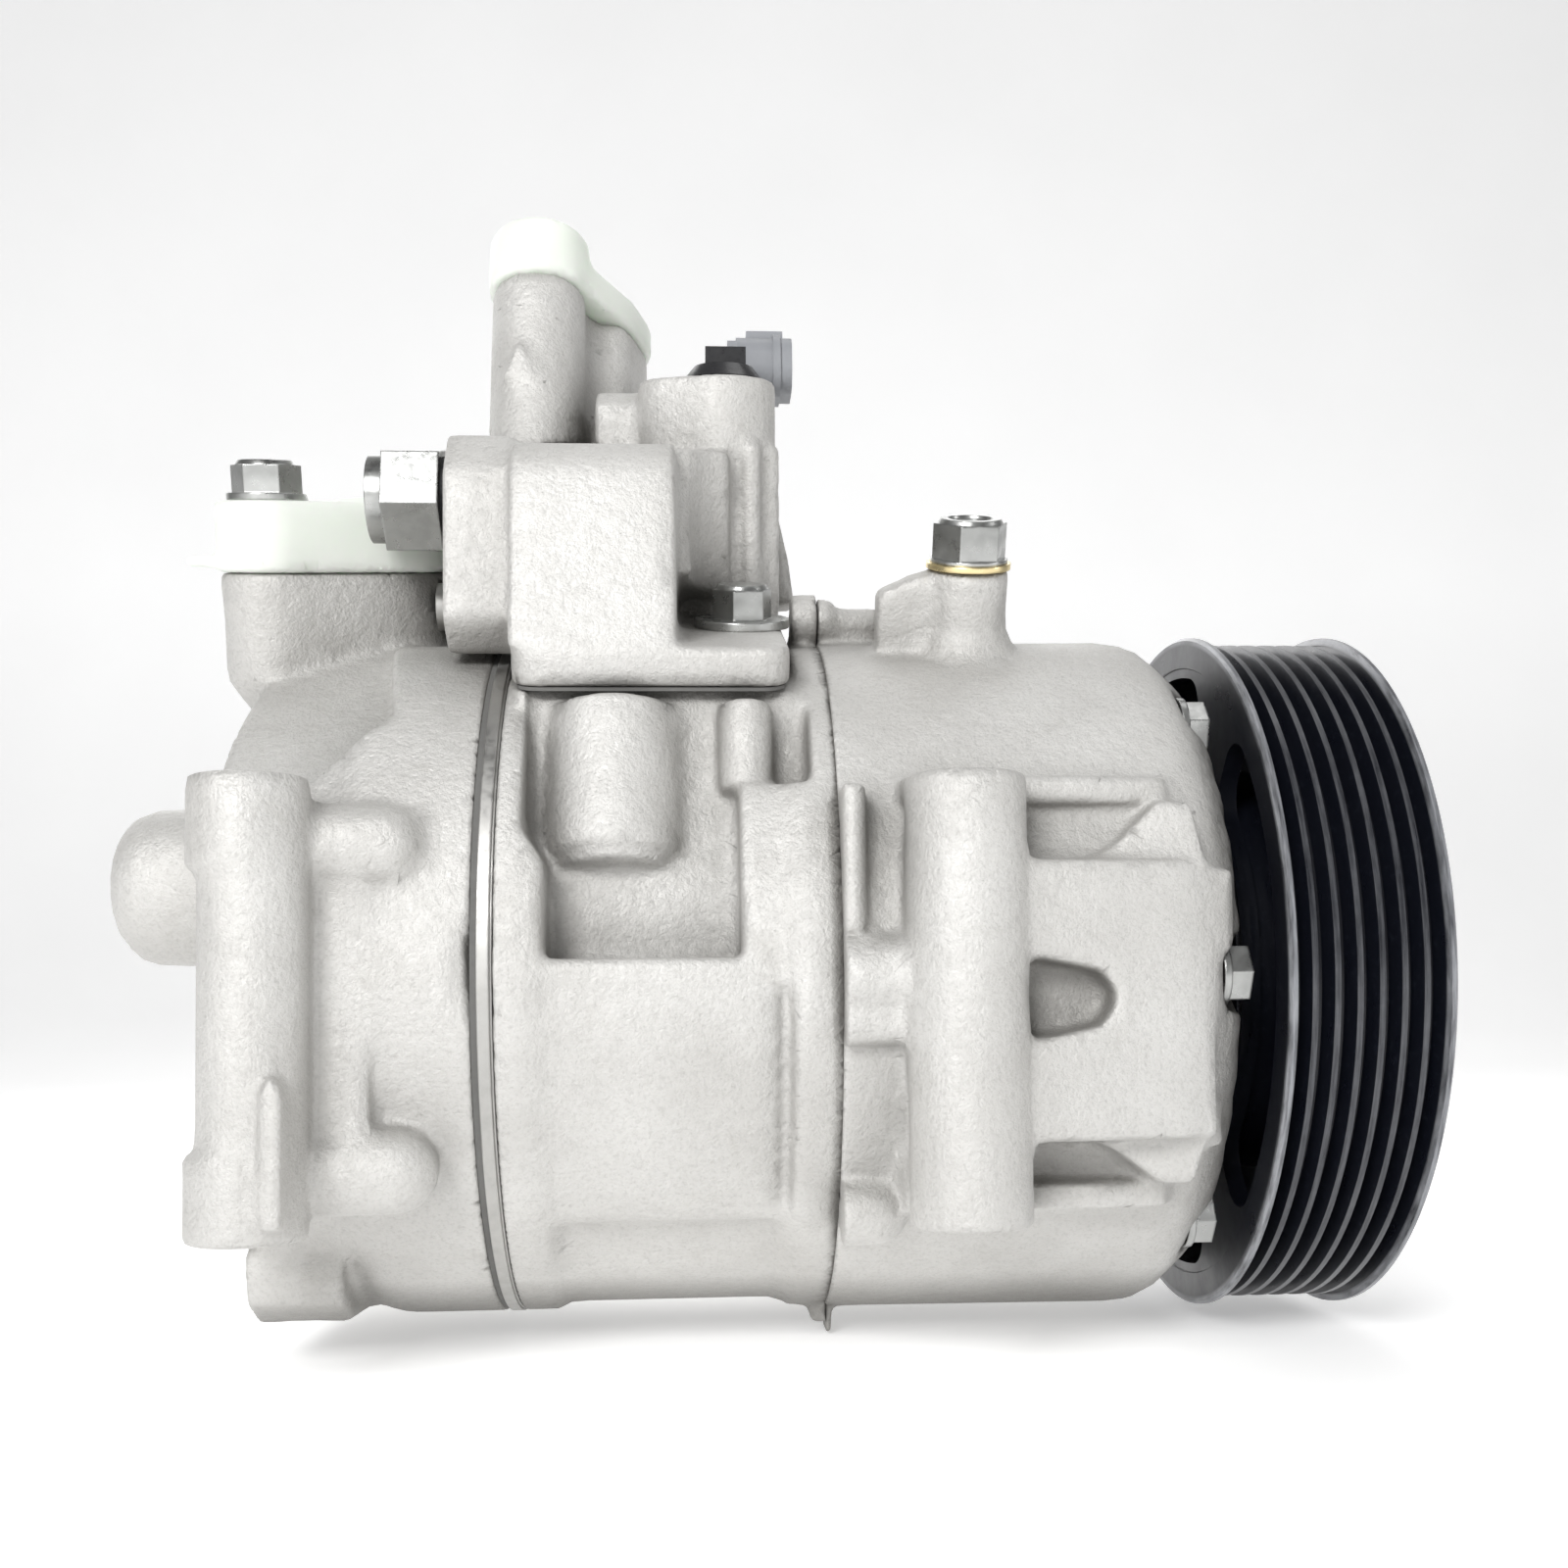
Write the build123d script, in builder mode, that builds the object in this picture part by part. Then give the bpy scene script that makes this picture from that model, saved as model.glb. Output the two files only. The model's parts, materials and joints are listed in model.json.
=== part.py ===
from build123d import *
import os
from math import cos, radians, sin

os.makedirs("parts", exist_ok=True)

# Clutchless swash-plate air-conditioning compressor for a car engine's belt drive.
# Millimetres. The shaft runs along X, with the pulley at +X, and +Z is up.
# The origin is on the shaft axis, in the middle plane of the belt.

# ---- driving dimensions ----
PULLEY_R = 62.5
GROOVES = 7
GROOVE_PITCH = 3.56
GROOVE_DEPTH = 3.0
PULLEY_HALF = 13.3
BODY_R = 61.2

X_FACE = -17.5
X_FRONT_SEAM = -82.0
X_BLOCK_END = -134.9
X_PLATE = -135.3
X_GASKET = -137.2
X_REAR_SEAM = -138.2
X_REAR_END = -182.0

CYLINDERS = 7
BORE_R = 13.0
BORE_CIRCLE_R = 34.5
BOLT_CIRCLE_R = 53.0
STEP_DEG = 360 / CYLINDERS
FIRST_BOLT_DEG = -2.0
BOLT_ANGLES = [FIRST_BOLT_DEG + k * STEP_DEG for k in range(CYLINDERS)]
BORE_ANGLES = [FIRST_BOLT_DEG + (k + 0.5) * STEP_DEG for k in range(CYLINDERS)]

SWASH_X = -68.0
SWASH_R = 42.0
SWASH_HALF = 3.0
CRANK_R = 49.0

LUG_HOLE_R = 4.25
LUG_TOP = 28.5
LUG_BOTTOM = -39.5
FRONT_LUG_X = -63.5
REAR_LUG_X = -169.0
LUG_Y = 63.5

# Ports, plugs and bolts on top lean towards -Y by these angles from the vertical.
MUFFLER_LEAN = 20.0
MUFFLER_SEAT = 57.5
SUCTION_LEAN = 16.0
SUCTION_FACE = 73.3
PLUG_LEAN = 24.0
VALVE_LEAN = 11.0
DISCHARGE_LEAN = -13.0
DISCHARGE_FACE = 131.2


def polar(radius, degrees):
    """Y and Z of a point around the shaft, counted from -Y towards +Z."""
    return -radius * cos(radians(degrees)), radius * sin(radians(degrees))


def leaning(lean):
    """Plane through the shaft axis: local x along X, normal leaning from +Z towards -Y."""
    return Plane(
        origin=(0, 0, 0), x_dir=(1, 0, 0), z_dir=(0, -sin(radians(lean)), cos(radians(lean)))
    )


def turned(points, mode=Mode.ADD):
    """Turned shape about X from a closed outline of (x, radius) points."""
    with BuildSketch(Plane.XZ) as outline:
        with BuildLine():
            Polyline(*points, close=True)
        make_face()
    revolve(outline.sketch, axis=Axis.X, mode=mode)


def ring(x0, x1, inner, outer, mode=Mode.ADD):
    turned([(x0, inner), (x1, inner), (x1, outer), (x0, outer)], mode)


def bar_x(x0, x1, radius, y=0.0, z=0.0, mode=Mode.ADD):
    """Round bar along X."""
    with Locations((x0, y, z)):
        Cylinder(
            radius, x1 - x0, rotation=(0, 90, 0),
            align=(Align.CENTER, Align.CENTER, Align.MIN), mode=mode,
        )


def bar_z(z0, z1, radius, x, y, mode=Mode.ADD):
    """Round bar along Z."""
    with Locations((x, y, z0)):
        Cylinder(radius, z1 - z0, align=(Align.CENTER, Align.CENTER, Align.MIN), mode=mode)


def block(x0, x1, y0, y1, z0, z1, mode=Mode.ADD):
    """Box between two planes each way."""
    with Locations(((x0 + x1) / 2, (y0 + y1) / 2, (z0 + z1) / 2)):
        Box(x1 - x0, y1 - y0, z1 - z0, mode=mode)


def bar_on(plane, d0, d1, radius, u=0.0, v=0.0, mode=Mode.ADD):
    """Round bar along a leaning plane's normal, from distance d0 to d1 from the shaft."""
    with BuildSketch(plane.offset(d0)) as disc:
        with Locations((u, v)):
            Circle(radius)
    extrude(disc.sketch, amount=d1 - d0, mode=mode)


def hex_on(plane, d0, d1, flats, u=0.0, v=0.0, turn=0.0, mode=Mode.ADD):
    """Hexagonal bolt head along a plane's normal, with a low round crown."""
    with BuildSketch(plane.offset(d0)) as hexagon:
        with Locations((u, v)):
            RegularPolygon(flats / 2, 6, major_radius=False, rotation=turn)
    extrude(hexagon.sketch, amount=d1 - d0 - 0.8, mode=mode)
    with BuildSketch(plane.offset(d1 - 0.8)) as crown:
        with Locations((u, v)):
            Circle(flats / 2)
    extrude(crown.sketch, amount=0.8, taper=30, mode=mode)


def hull_on(plane, d0, d1, circles, mode=Mode.ADD):
    """Prism whose outline wraps around circles given as (u, v, radius)."""
    with BuildSketch(plane.offset(d0)) as outline:
        for u, v, radius in circles:
            with Locations((u, v)):
                Circle(radius)
        make_hull()
    extrude(outline.sketch, amount=d1 - d0, mode=mode)


def plate_x(x0, x1, points, mode=Mode.ADD):
    """Prism along X from a closed outline of (y, z) points."""
    with BuildSketch(Plane.YZ.offset(x0)) as outline:
        with BuildLine():
            Polyline(*points, close=True)
        make_face()
    extrude(outline.sketch, amount=x1 - x0, mode=mode)


def plate_z(z0, z1, points, mode=Mode.ADD):
    """Prism along Z from a closed outline of (x, y) points."""
    with BuildSketch(Plane.XY.offset(z0)) as outline:
        with BuildLine():
            Polyline(*points, close=True)
        make_face()
    extrude(outline.sketch, amount=z1 - z0, mode=mode)


def plate_y(y0, y1, points, mode=Mode.ADD):
    """Prism along Y from a closed outline of (x, z) points."""
    with BuildSketch(Plane.XZ.offset(-y0)) as outline:
        with BuildLine():
            Polyline(*points, close=True)
        make_face()
    extrude(outline.sketch, amount=y0 - y1, mode=mode)


def dome_x(x, radius, y, z, mode=Mode.ADD):
    with Locations((x, y, z)):
        Sphere(radius, rotation=(0, 90, 0), mode=mode)


def coil_spring(x0, x1, radius, wire, turns, y=0.0, z=0.0):
    """Compression spring along X."""
    with BuildLine() as coil:
        Helix(pitch=(x1 - x0) / turns, height=x1 - x0, radius=radius, center=(x0, y, z),
              direction=(1, 0, 0))
    with BuildSketch(Plane(origin=coil.line @ 0, z_dir=coil.line % 0)) as section:
        Circle(wire)
    sweep(section.sketch, path=coil.line)


def finish(builder, name):
    builder.part.label = name
    export_step(builder.part, f"parts/{name}.step")
    print(name, len(builder.part.solids()), round(builder.part.volume / 1000, 2))


MUFFLER = leaning(MUFFLER_LEAN)
SUCTION = leaning(SUCTION_LEAN)
PLUG = leaning(PLUG_LEAN)
VALVE = leaning(VALVE_LEAN)
DISCHARGE = leaning(DISCHARGE_LEAN)

# Port centres in their leaning planes: along X, then away from -Y.
SUCTION_PORT = (-161.3, 20.0)
SUCTION_BOLT = (-178.5, 4.4)
DISCHARGE_PORT = (-133.6, -21.5)
DISCHARGE_BOLT = (-119.4, -2.9)
VALVE_AT = (-98.3, 9.4)
MUFFLER_BOLTS = [(-95.6, 1.2), (-125.9, 32.5)]
PLUG_AT = (-56.7, 0.0)

# ---------------------------------------------------------------- front housing
with BuildPart() as front_housing:
    turned([
        (X_FRONT_SEAM, CRANK_R), (X_FRONT_SEAM, BODY_R), (-28.2, BODY_R + 0.4),
        (-27.8, BODY_R - 0.2), (-25.6, BODY_R - 0.2), (-19.2, 55.6), (X_FACE, 52.4),
        (X_FACE, 29.0), (-14.6, 24.6), (-10.0, 21.0), (-10.0, 17.5), (13.0, 17.5),
        (13.4, 17.1), (13.4, 12.5), (-8.0, 12.5), (-8.0, 9.2), (-13.0, 9.2), (-13.0, 12.0),
        (-31.0, 12.0), (-31.0, 44.0), (-36.0, CRANK_R),
    ])
    # Lug tubes on both sides, each on a web that runs into the shell.
    for side in (-1, 1):
        y_lug = side * LUG_Y
        bar_z(LUG_BOTTOM, LUG_TOP, 9.3, FRONT_LUG_X, y_lug)
        plate_z(LUG_BOTTOM + 5, LUG_TOP - 3.5, [
            (FRONT_LUG_X - 8.2, side * 66.0), (FRONT_LUG_X - 6.6, side * 58.0),
            (FRONT_LUG_X - 11.5, side * 51.0), (FRONT_LUG_X + 11.5, side * 51.0),
            (FRONT_LUG_X + 8.0, side * 58.0), (FRONT_LUG_X + 8.6, side * 66.0),
        ])
        # Raised pad from the tube to the nose end, with a tapered notch halfway.
        plate_z(-27.0, 15.5, [
            (FRONT_LUG_X, side * 67.0), (-52.0, side * 66.6), (-43.0, side * 65.6),
            (-30.0, side * 63.4), (-24.5, side * 60.4), (-24.5, side * 51.5),
            (FRONT_LUG_X, side * 51.5),
        ])
        plate_y(min(side * 59.4, side * 75), max(side * 59.4, side * 75), [
            (-54.6, -11.8), (-43.6, -9.6), (-41.4, -6.6), (-41.4, -4.2), (-43.6, -1.4),
            (-54.6, 0.8),
        ], Mode.SUBTRACT)
        # Ledges level with the tube's ends that run down into the pad near the nose.
        for z0, z1, out in ((24.5, 29.0, 59.6), (-38.5, -34.0, 55.2)):
            plate_z(z0, z1, [
                (FRONT_LUG_X - 9.0, side * (out - 8)), (FRONT_LUG_X - 9.0, side * out),
                (-44.0, side * out), (-31.0, side * (out - 1.6)), (-28.0, side * (out - 8)),
            ])
        plate_y(min(side * 61.4, side * 50), max(side * 61.4, side * 50), [
            (-45.5, 15.0), (-40.0, 18.0), (-33.0, 24.8), (-28.0, 24.8), (-25.6, 15.0),
        ])
        plate_y(min(side * 59.4, side * 46), max(side * 59.4, side * 46), [
            (-45.5, -26.5), (-40.0, -29.0), (-33.0, -34.2), (-28.0, -34.2), (-25.6, -26.5),
        ])
    # Nose tab and upper shoulder on the viewed side.
    plate_z(1.0, 14.5, [(-40, -60.0), (-25.5, -60.8), (-20.5, -58.5), (-20.5, -52), (-40, -52)])
    plate_z(-29.0, -12.0, [(-36, -57.5), (-25.5, -58.0), (-21.8, -54.5), (-21.8, -50), (-36, -50)])
    # Vertical rib, stepped ear and lower lobe beside the seam.
    plate_z(5.0, 27.5, [(-81.9, -54), (-81.9, -63.2), (-79.0, -63.6), (-78.2, -61), (-78.2, -54)])
    bar_x(-81.9, -71.5, 6.3, -60.0, -1.6)
    bar_x(-81.9, -73.5, 3.4, -61.4, -9.0)
    bar_x(-81.8, -76.4, 5.4, -49.6, -38.6)
    dome_x(-76.4, 5.3, -49.6, -38.6)
    # Two-step ear at the top seam and a pry tab below.
    bar_x(-81.9, -79.0, 4.2, -14.5, 63.4)
    bar_x(-79.0, -70.5, 3.1, -14.5, 62.9)
    block(-81.9, -80.6, -15.0, -9.0, -64.2, -58.0)
    # Oil plug boss with its side web and flared base.
    bar_on(PLUG, 57.0, 75.8, 7.0, *PLUG_AT)
    with BuildSketch(PLUG.offset(57.0)) as flare_base:
        with Locations(PLUG_AT):
            Circle(11.0)
    extrude(flare_base.sketch, amount=8.0, taper=24)
    with BuildSketch(Plane(origin=(0, 0, 0), x_dir=(1, 0, 0), z_dir=PLUG.y_dir)) as web:
        with BuildLine():
            Polyline((-72.6, -57), (-72.6, -71.5), (-66.0, -74.6), (-56.7, -75.2), (-56.7, -57),
                     close=True)
        make_face()
    extrude(web.sketch, amount=3.0, both=True)
    # Oil bore, shaft-seal and snap-ring grooves, lug holes, bolt holes with head pockets.
    bar_on(PLUG, 44.0, 80.0, 5.1, *PLUG_AT, mode=Mode.SUBTRACT)
    ring(10.0, 11.2, 16.6, 18.0, Mode.SUBTRACT)
    ring(5.2, 6.4, 12.0, 13.4, Mode.SUBTRACT)
    for side in (-1, 1):
        bar_z(LUG_BOTTOM - 1, LUG_TOP + 1, LUG_HOLE_R, FRONT_LUG_X, side * LUG_Y, Mode.SUBTRACT)
    for angle in BOLT_ANGLES:
        y, z = polar(BOLT_CIRCLE_R, angle)
        bar_x(X_FRONT_SEAM - 1, -20.0, 3.2, y, z, Mode.SUBTRACT)
        bar_x(-22.2, -10.0, 6.2, y, z, Mode.SUBTRACT)
    # Groove for the seam's sealing ring.
    ring(X_FRONT_SEAM - 1, X_FRONT_SEAM + 1.7, 57.2, 59.4, Mode.SUBTRACT)
finish(front_housing, "front_housing")

# ---------------------------------------------------------------- cylinder block
with BuildPart() as cylinder_block:
    turned([
        (X_BLOCK_END, 0.0), (X_BLOCK_END, 60.6), (-128.6, 60.6), (-127.6, 59.3),
        (-90.2, 59.3), (-88.8, 60.8), (X_FRONT_SEAM, 60.8), (X_FRONT_SEAM, 0.0),
    ])
    # Seat for the muffler on top, with a lobe under the far bolt.
    hull_on(MUFFLER, 40.0, MUFFLER_SEAT, [
        (-128.9, -22.6, 5.0), (-93.5, -22.6, 5.0), (-93.5, 16.5, 5.0), (-128.9, 16.5, 5.0),
    ])
    hull_on(MUFFLER, 40.0, MUFFLER_SEAT, [(-125.9, 10.0, 8.0), (-125.9, 32.5, 8.5)])
    # Recess on the viewed side, wider at the top, with two ducts that lean back in it.
    plate_x(-127.4, -97.3, [
        (-75, 0.3), (-48.8, 0.3), (-48.8, 10.0), (-42.6, 36.0), (-42.2, 47.0), (-75, 47.0),
    ], Mode.SUBTRACT)
    plate_x(-131.0, -127.3, [
        (-75, 21.5), (-46.1, 21.5), (-42.6, 36.0), (-42.2, 47.0), (-75, 47.0),
    ], Mode.SUBTRACT)
    plate_y(-75, -47.0, [(-131.0, 21.6), (-127.3, 16.0), (-127.3, 21.6)], Mode.SUBTRACT)
    plate_x(-97.4, -86.0, [
        (-75, 29.0), (-44.4, 29.0), (-42.6, 36.0), (-42.2, 47.0), (-75, 47.0),
    ], Mode.SUBTRACT)
    bar_on(leaning(-14.5), 5.5, 31.0, 11.6, -117.2, -46.3)
    bar_on(leaning(-14.5), 3.5, 6.0, 9.8, -117.2, -46.3)
    bar_on(leaning(-10.0), 19.5, 34.5, 4.4, -96.0, -50.6)
    hull_on(MUFFLER, MUFFLER_SEAT, 75.0, [
        (-129.6, -24.6, 5.2), (-93.0, -24.6, 5.2), (-93.0, 17.0, 5.2), (-129.6, 17.0, 5.2),
    ], Mode.SUBTRACT)
    # Ledge under the recess, upright grooves, raised rear rim pad.
    block(-127.4, -98.0, -59.8, -50.0, -1.6, 1.4)
    block(-98.6, -96.9, -75, -57.6, 1.4, 27.8, Mode.SUBTRACT)
    plate_x(-91.8, -89.6, [
        (-75, -3.0), (-57.6, -3.0), (-56.8, -10.0), (-54.1, -20.0), (-49.9, -29.0),
        (-44.0, -37.5), (-75, -37.5),
    ], Mode.SUBTRACT)
    plate_x(-127.0, -91.6, [(-40.8, -40.5), (-75, -40.5), (-75, -52.0), (-32.6, -49.6)],
            Mode.SUBTRACT)
    # Ears over the seam at the top and bottom.
    bar_x(-86.8, -82.1, 4.8, -14.5, 63.6)
    block(-84.6, -82.0, -15.5, -8.5, -62.4, -58.0)
    # Cylinder bores, bolt holes, shaft bore with spring seat and the discharge duct.
    for angle in BORE_ANGLES:
        y, z = polar(BORE_CIRCLE_R, angle)
        bar_x(X_BLOCK_END - 1, X_FRONT_SEAM + 1, BORE_R, y, z, Mode.SUBTRACT)
    for angle in BOLT_ANGLES:
        y, z = polar(BOLT_CIRCLE_R, angle)
        bar_x(X_BLOCK_END - 1, X_FRONT_SEAM + 1, 3.2, y, z, Mode.SUBTRACT)
    bar_x(-123.0, X_FRONT_SEAM + 1, 12.0, mode=Mode.SUBTRACT)
    bar_x(X_BLOCK_END - 1, -122.0, 2.5, mode=Mode.SUBTRACT)
    bar_on(MUFFLER, 51.5, 60.0, 5.0, -130.0, -4.0, Mode.SUBTRACT)
    bar_x(X_BLOCK_END - 1, -129.9, 4.0, *polar(54.6, 74.5), Mode.SUBTRACT)
    for u, v in MUFFLER_BOLTS:
        bar_on(MUFFLER, MUFFLER_SEAT - 8.5, 60.0, 3.0, u, v, Mode.SUBTRACT)
finish(cylinder_block, "cylinder_block")

# ---------------------------------------------------------------- seam sealing ring
with BuildPart() as seam_ring:
    ring(X_FRONT_SEAM + 0.02, X_FRONT_SEAM + 1.66, 57.4, 59.2)
finish(seam_ring, "seam_ring")

# ---------------------------------------------------------------- valve plate stack
with BuildPart() as suction_reed_plate:
    ring(X_PLATE, X_BLOCK_END, 2.5, 60.3)
    for angle in BOLT_ANGLES:
        y, z = polar(BOLT_CIRCLE_R, angle)
        bar_x(X_PLATE - 1, X_BLOCK_END + 1, 3.2, y, z, Mode.SUBTRACT)
    for angle in BORE_ANGLES:
        # A reed is freed from the plate by a slot around its tip and sides.
        y, z = polar(BORE_CIRCLE_R + 7.6, angle)
        bar_x(X_PLATE - 1, X_BLOCK_END + 1, 5.6, y, z, Mode.SUBTRACT)
        bar_x(X_PLATE, X_BLOCK_END, 4.6, y, z)
        y, z = polar(BORE_CIRCLE_R + 3.2, angle)
        with Locations(Location((X_PLATE, y, z), (-angle, 0, 0))):
            Box(X_BLOCK_END - X_PLATE, 6.0, 3.6, align=(Align.MIN, Align.CENTER, Align.CENTER))
        y, z = polar(23.0, angle)
        bar_x(X_PLATE - 1, X_BLOCK_END + 1, 3.2, y, z, Mode.SUBTRACT)
    bar_x(X_PLATE - 1, X_BLOCK_END + 1, 4.0, *polar(54.6, 74.5), Mode.SUBTRACT)
finish(suction_reed_plate, "suction_reed_plate")

with BuildPart() as valve_plate:
    ring(X_GASKET, X_PLATE, 2.5, 60.7)
    for angle in BOLT_ANGLES:
        y, z = polar(BOLT_CIRCLE_R, angle)
        bar_x(X_GASKET - 1, X_PLATE + 1, 3.2, y, z, Mode.SUBTRACT)
    for angle in BORE_ANGLES:
        for radius, hole in ((BORE_CIRCLE_R + 7.6, 3.6), (23.0, 2.6)):
            y, z = polar(radius, angle)
            bar_x(X_GASKET - 1, X_PLATE + 1, hole, y, z, Mode.SUBTRACT)
    bar_x(X_GASKET - 1, X_PLATE + 1, 4.0, *polar(54.6, 74.5), Mode.SUBTRACT)
finish(valve_plate, "valve_plate")

with BuildPart() as discharge_reed_plate:
    ring(X_GASKET - 0.3, X_GASKET, 4.0, 13.0)
    for angle in BORE_ANGLES:
        y, z = polar(16.5, angle)
        with Locations(Location((X_GASKET - 0.3, y, z), (-angle, 0, 0))):
            Box(0.3, 12.0, 5.0, align=(Align.MIN, Align.CENTER, Align.CENTER))
        bar_x(X_GASKET - 0.3, X_GASKET, 3.5, *polar(23.0, angle))
    bar_x(X_GASKET - 1, X_GASKET + 1, 4.0, mode=Mode.SUBTRACT)
finish(discharge_reed_plate, "discharge_reed_plate")

with BuildPart() as reed_retainer:
    ring(X_GASKET - 1.3, X_GASKET - 0.3, 4.0, 13.0)
    for angle in BORE_ANGLES:
        y, z = polar(16.5, angle)
        with Locations(Location((X_GASKET - 1.3, y, z), (-angle, 0, 0))):
            Box(1.0, 12.0, 5.6, align=(Align.MIN, Align.CENTER, Align.CENTER))
        bar_x(X_GASKET - 1.3, X_GASKET - 0.3, 3.9, *polar(23.0, angle))
    bar_x(X_GASKET - 2, X_GASKET + 1, 4.0, mode=Mode.SUBTRACT)
finish(reed_retainer, "reed_retainer")

with BuildPart() as rear_gasket:
    ring(X_REAR_SEAM, X_GASKET, 48.2, 60.2)
    ring(X_REAR_SEAM, X_GASKET, 31.0, 33.2)
    for angle in BOLT_ANGLES:
        y, z = polar(41, angle)
        with Locations(Location((X_REAR_SEAM, y, z), (-angle, 0, 0))):
            Box(X_GASKET - X_REAR_SEAM, 18.0, 2.4, align=(Align.MIN, Align.CENTER, Align.CENTER))
    for angle in BOLT_ANGLES:
        y, z = polar(BOLT_CIRCLE_R, angle)
        bar_x(X_REAR_SEAM - 1, X_GASKET + 1, 3.2, y, z, Mode.SUBTRACT)
    bar_x(X_REAR_SEAM - 1, X_GASKET + 1, 4.0, *polar(54.6, 74.5), Mode.SUBTRACT)
finish(rear_gasket, "rear_gasket")

# ---------------------------------------------------------------- rear housing
with BuildPart() as rear_housing:
    turned([
        (X_REAR_SEAM, 0.0), (X_REAR_SEAM, 60.6), (-156.0, 60.6), (-160.0, 59.0),
        (-172.0, 58.0), (-177.5, 55.6),
        (-181.0, 50.0), (X_REAR_END, 44.0), (X_REAR_END, 0.0),
    ])
    # Flat facet high on the viewed side, behind the full-size rim.
    with BuildSketch(leaning(42.0).offset(51.5)) as facet:
        with BuildLine():
            Polyline((-186, 45), (-157.5, 45), (-156.5, 21.8), (-152.4, -5.5), (-164.4, -17.4),
                     (-186, -26.0), close=True)
        make_face()
    extrude(facet.sketch, amount=20.0, mode=Mode.SUBTRACT)
    # Domed boss on the end wall.
    bar_x(-199.0, X_REAR_END + 4, 14.2, -8.0, 16.3)
    with BuildSketch(Plane.XZ) as dome:
        with BuildLine():
            l1 = Line((-199.0, 0), (-206.4, 0))
            l2 = Line(l1 @ 1, (-206.4, 6.0))
            l3 = ThreePointArc(l2 @ 1, (-204.0, 11.8), (-199.0, 14.2))
            Line(l3 @ 1, l1 @ 0)
        make_face()
    revolve(dome.sketch.moved(Location((0, -8.0, 16.3))), axis=Axis((0, -8.0, 16.3), (1, 0, 0)))
    # Suction port boss: two lobes under the port and its bolt.
    hull_on(SUCTION, 54.5, SUCTION_FACE, [(*SUCTION_PORT, 13.4), (*SUCTION_BOLT, 8.8)])
    with BuildSketch(SUCTION.offset(54.6)) as boss_foot:
        with Locations(SUCTION_PORT):
            Circle(13.4)
        with Locations(SUCTION_BOLT):
            Circle(8.8)
        make_hull()
    extrude(boss_foot.sketch, amount=-9.0, taper=34)
    bar_on(SUCTION, 40.0, 56.0, 12.0, SUCTION_PORT[0], 14.0)
    # Lug tubes with widened ends on both sides, their skirts and arms.
    for side in (-1, 1):
        y_lug = side * LUG_Y
        bar_z(LUG_BOTTOM, LUG_TOP, 8.0, REAR_LUG_X, y_lug)
        for z0, z1 in ((LUG_BOTTOM, LUG_BOTTOM + 13.0), (LUG_TOP - 14.0, LUG_TOP)):
            bar_z(z0, z1, 8.6, REAR_LUG_X - 1.0, y_lug)
            plate_z(z0, z1, [
                (REAR_LUG_X - 9.6, side * 65.5), (REAR_LUG_X - 9.6, side * 58.5),
                (REAR_LUG_X - 4.0, side * 52.0), (REAR_LUG_X, side * 52.0),
                (REAR_LUG_X, side * 65.5),
            ])
        plate_z(LUG_BOTTOM + 3, LUG_TOP - 3, [
            (REAR_LUG_X - 5.5, side * 64.0), (REAR_LUG_X - 5.5, side * 44.0),
            (REAR_LUG_X + 10.5, side * 44.0), (REAR_LUG_X + 9.0, side * 57.0),
            (REAR_LUG_X + 6.0, side * 64.0),
        ])
        for z, x_tip in ((18.5, -151.6), (-30.2, -149.8)):
            bar_x(REAR_LUG_X, x_tip, 6.7, side * 56.8, z)
            dome_x(x_tip, 6.7, side * 56.8, z)
            block(REAR_LUG_X, x_tip, min(side * 56.8, side * 44), max(side * 56.8, side * 44),
                  z - 6.6, z + 6.6)
        block(-161.0, -153.0, min(side * 60.8, side * 46), max(side * 60.8, side * 46), -26, 14)
    # Raised rib on the viewed tube.
    plate_y(-73.0, -66.0, [(-165.9, -37), (-162.6, -37), (-162.6, -17.5), (-164.2, -14.5),
                           (-165.9, -17.5)])
    # Foot under the end wall.
    plate_x(-177.0, -161.5, [(-37.5, -44.0), (-39.0, -46.0), (-37.0, -53.5), (-30.0, -57.4),
                             (-8.0, -58.6), (-8.0, -44.0)])
    # Suction chamber, discharge chamber, ports, bolt holes and lug holes.
    ring(-166.0, X_REAR_SEAM + 1, 33.2, 48.2, Mode.SUBTRACT)
    ring(-162.0, X_REAR_SEAM + 1, 0.0, 31.0, Mode.SUBTRACT)
    bar_on(SUCTION, 42.0, SUCTION_FACE + 1, 8.0, *SUCTION_PORT, mode=Mode.SUBTRACT)
    bar_on(SUCTION, SUCTION_FACE - 11, SUCTION_FACE + 1, 2.9, *SUCTION_BOLT, mode=Mode.SUBTRACT)
    for angle in BOLT_ANGLES:
        y, z = polar(BOLT_CIRCLE_R, angle)
        bar_x(-152.0, X_REAR_SEAM + 1, 2.9, y, z, Mode.SUBTRACT)
    bar_x(-150.8, -140.0, 4.4, -8.0, 67.6, Mode.SUBTRACT)
    # Discharge duct from the middle chamber to the hole in the valve plate.
    bar_x(-146.0, X_REAR_SEAM + 1, 4.0, *polar(54.6, 74.5), Mode.SUBTRACT)
    with BuildSketch(leaning(15.5).offset(28.0)) as duct:
        with Locations((-142.6, 0)):
            Circle(3.4)
    extrude(duct.sketch, amount=26.0, mode=Mode.SUBTRACT)
    for side in (-1, 1):
        bar_z(LUG_BOTTOM - 1, LUG_TOP + 1, LUG_HOLE_R, REAR_LUG_X, side * LUG_Y, Mode.SUBTRACT)
finish(rear_housing, "rear_housing")

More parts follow.
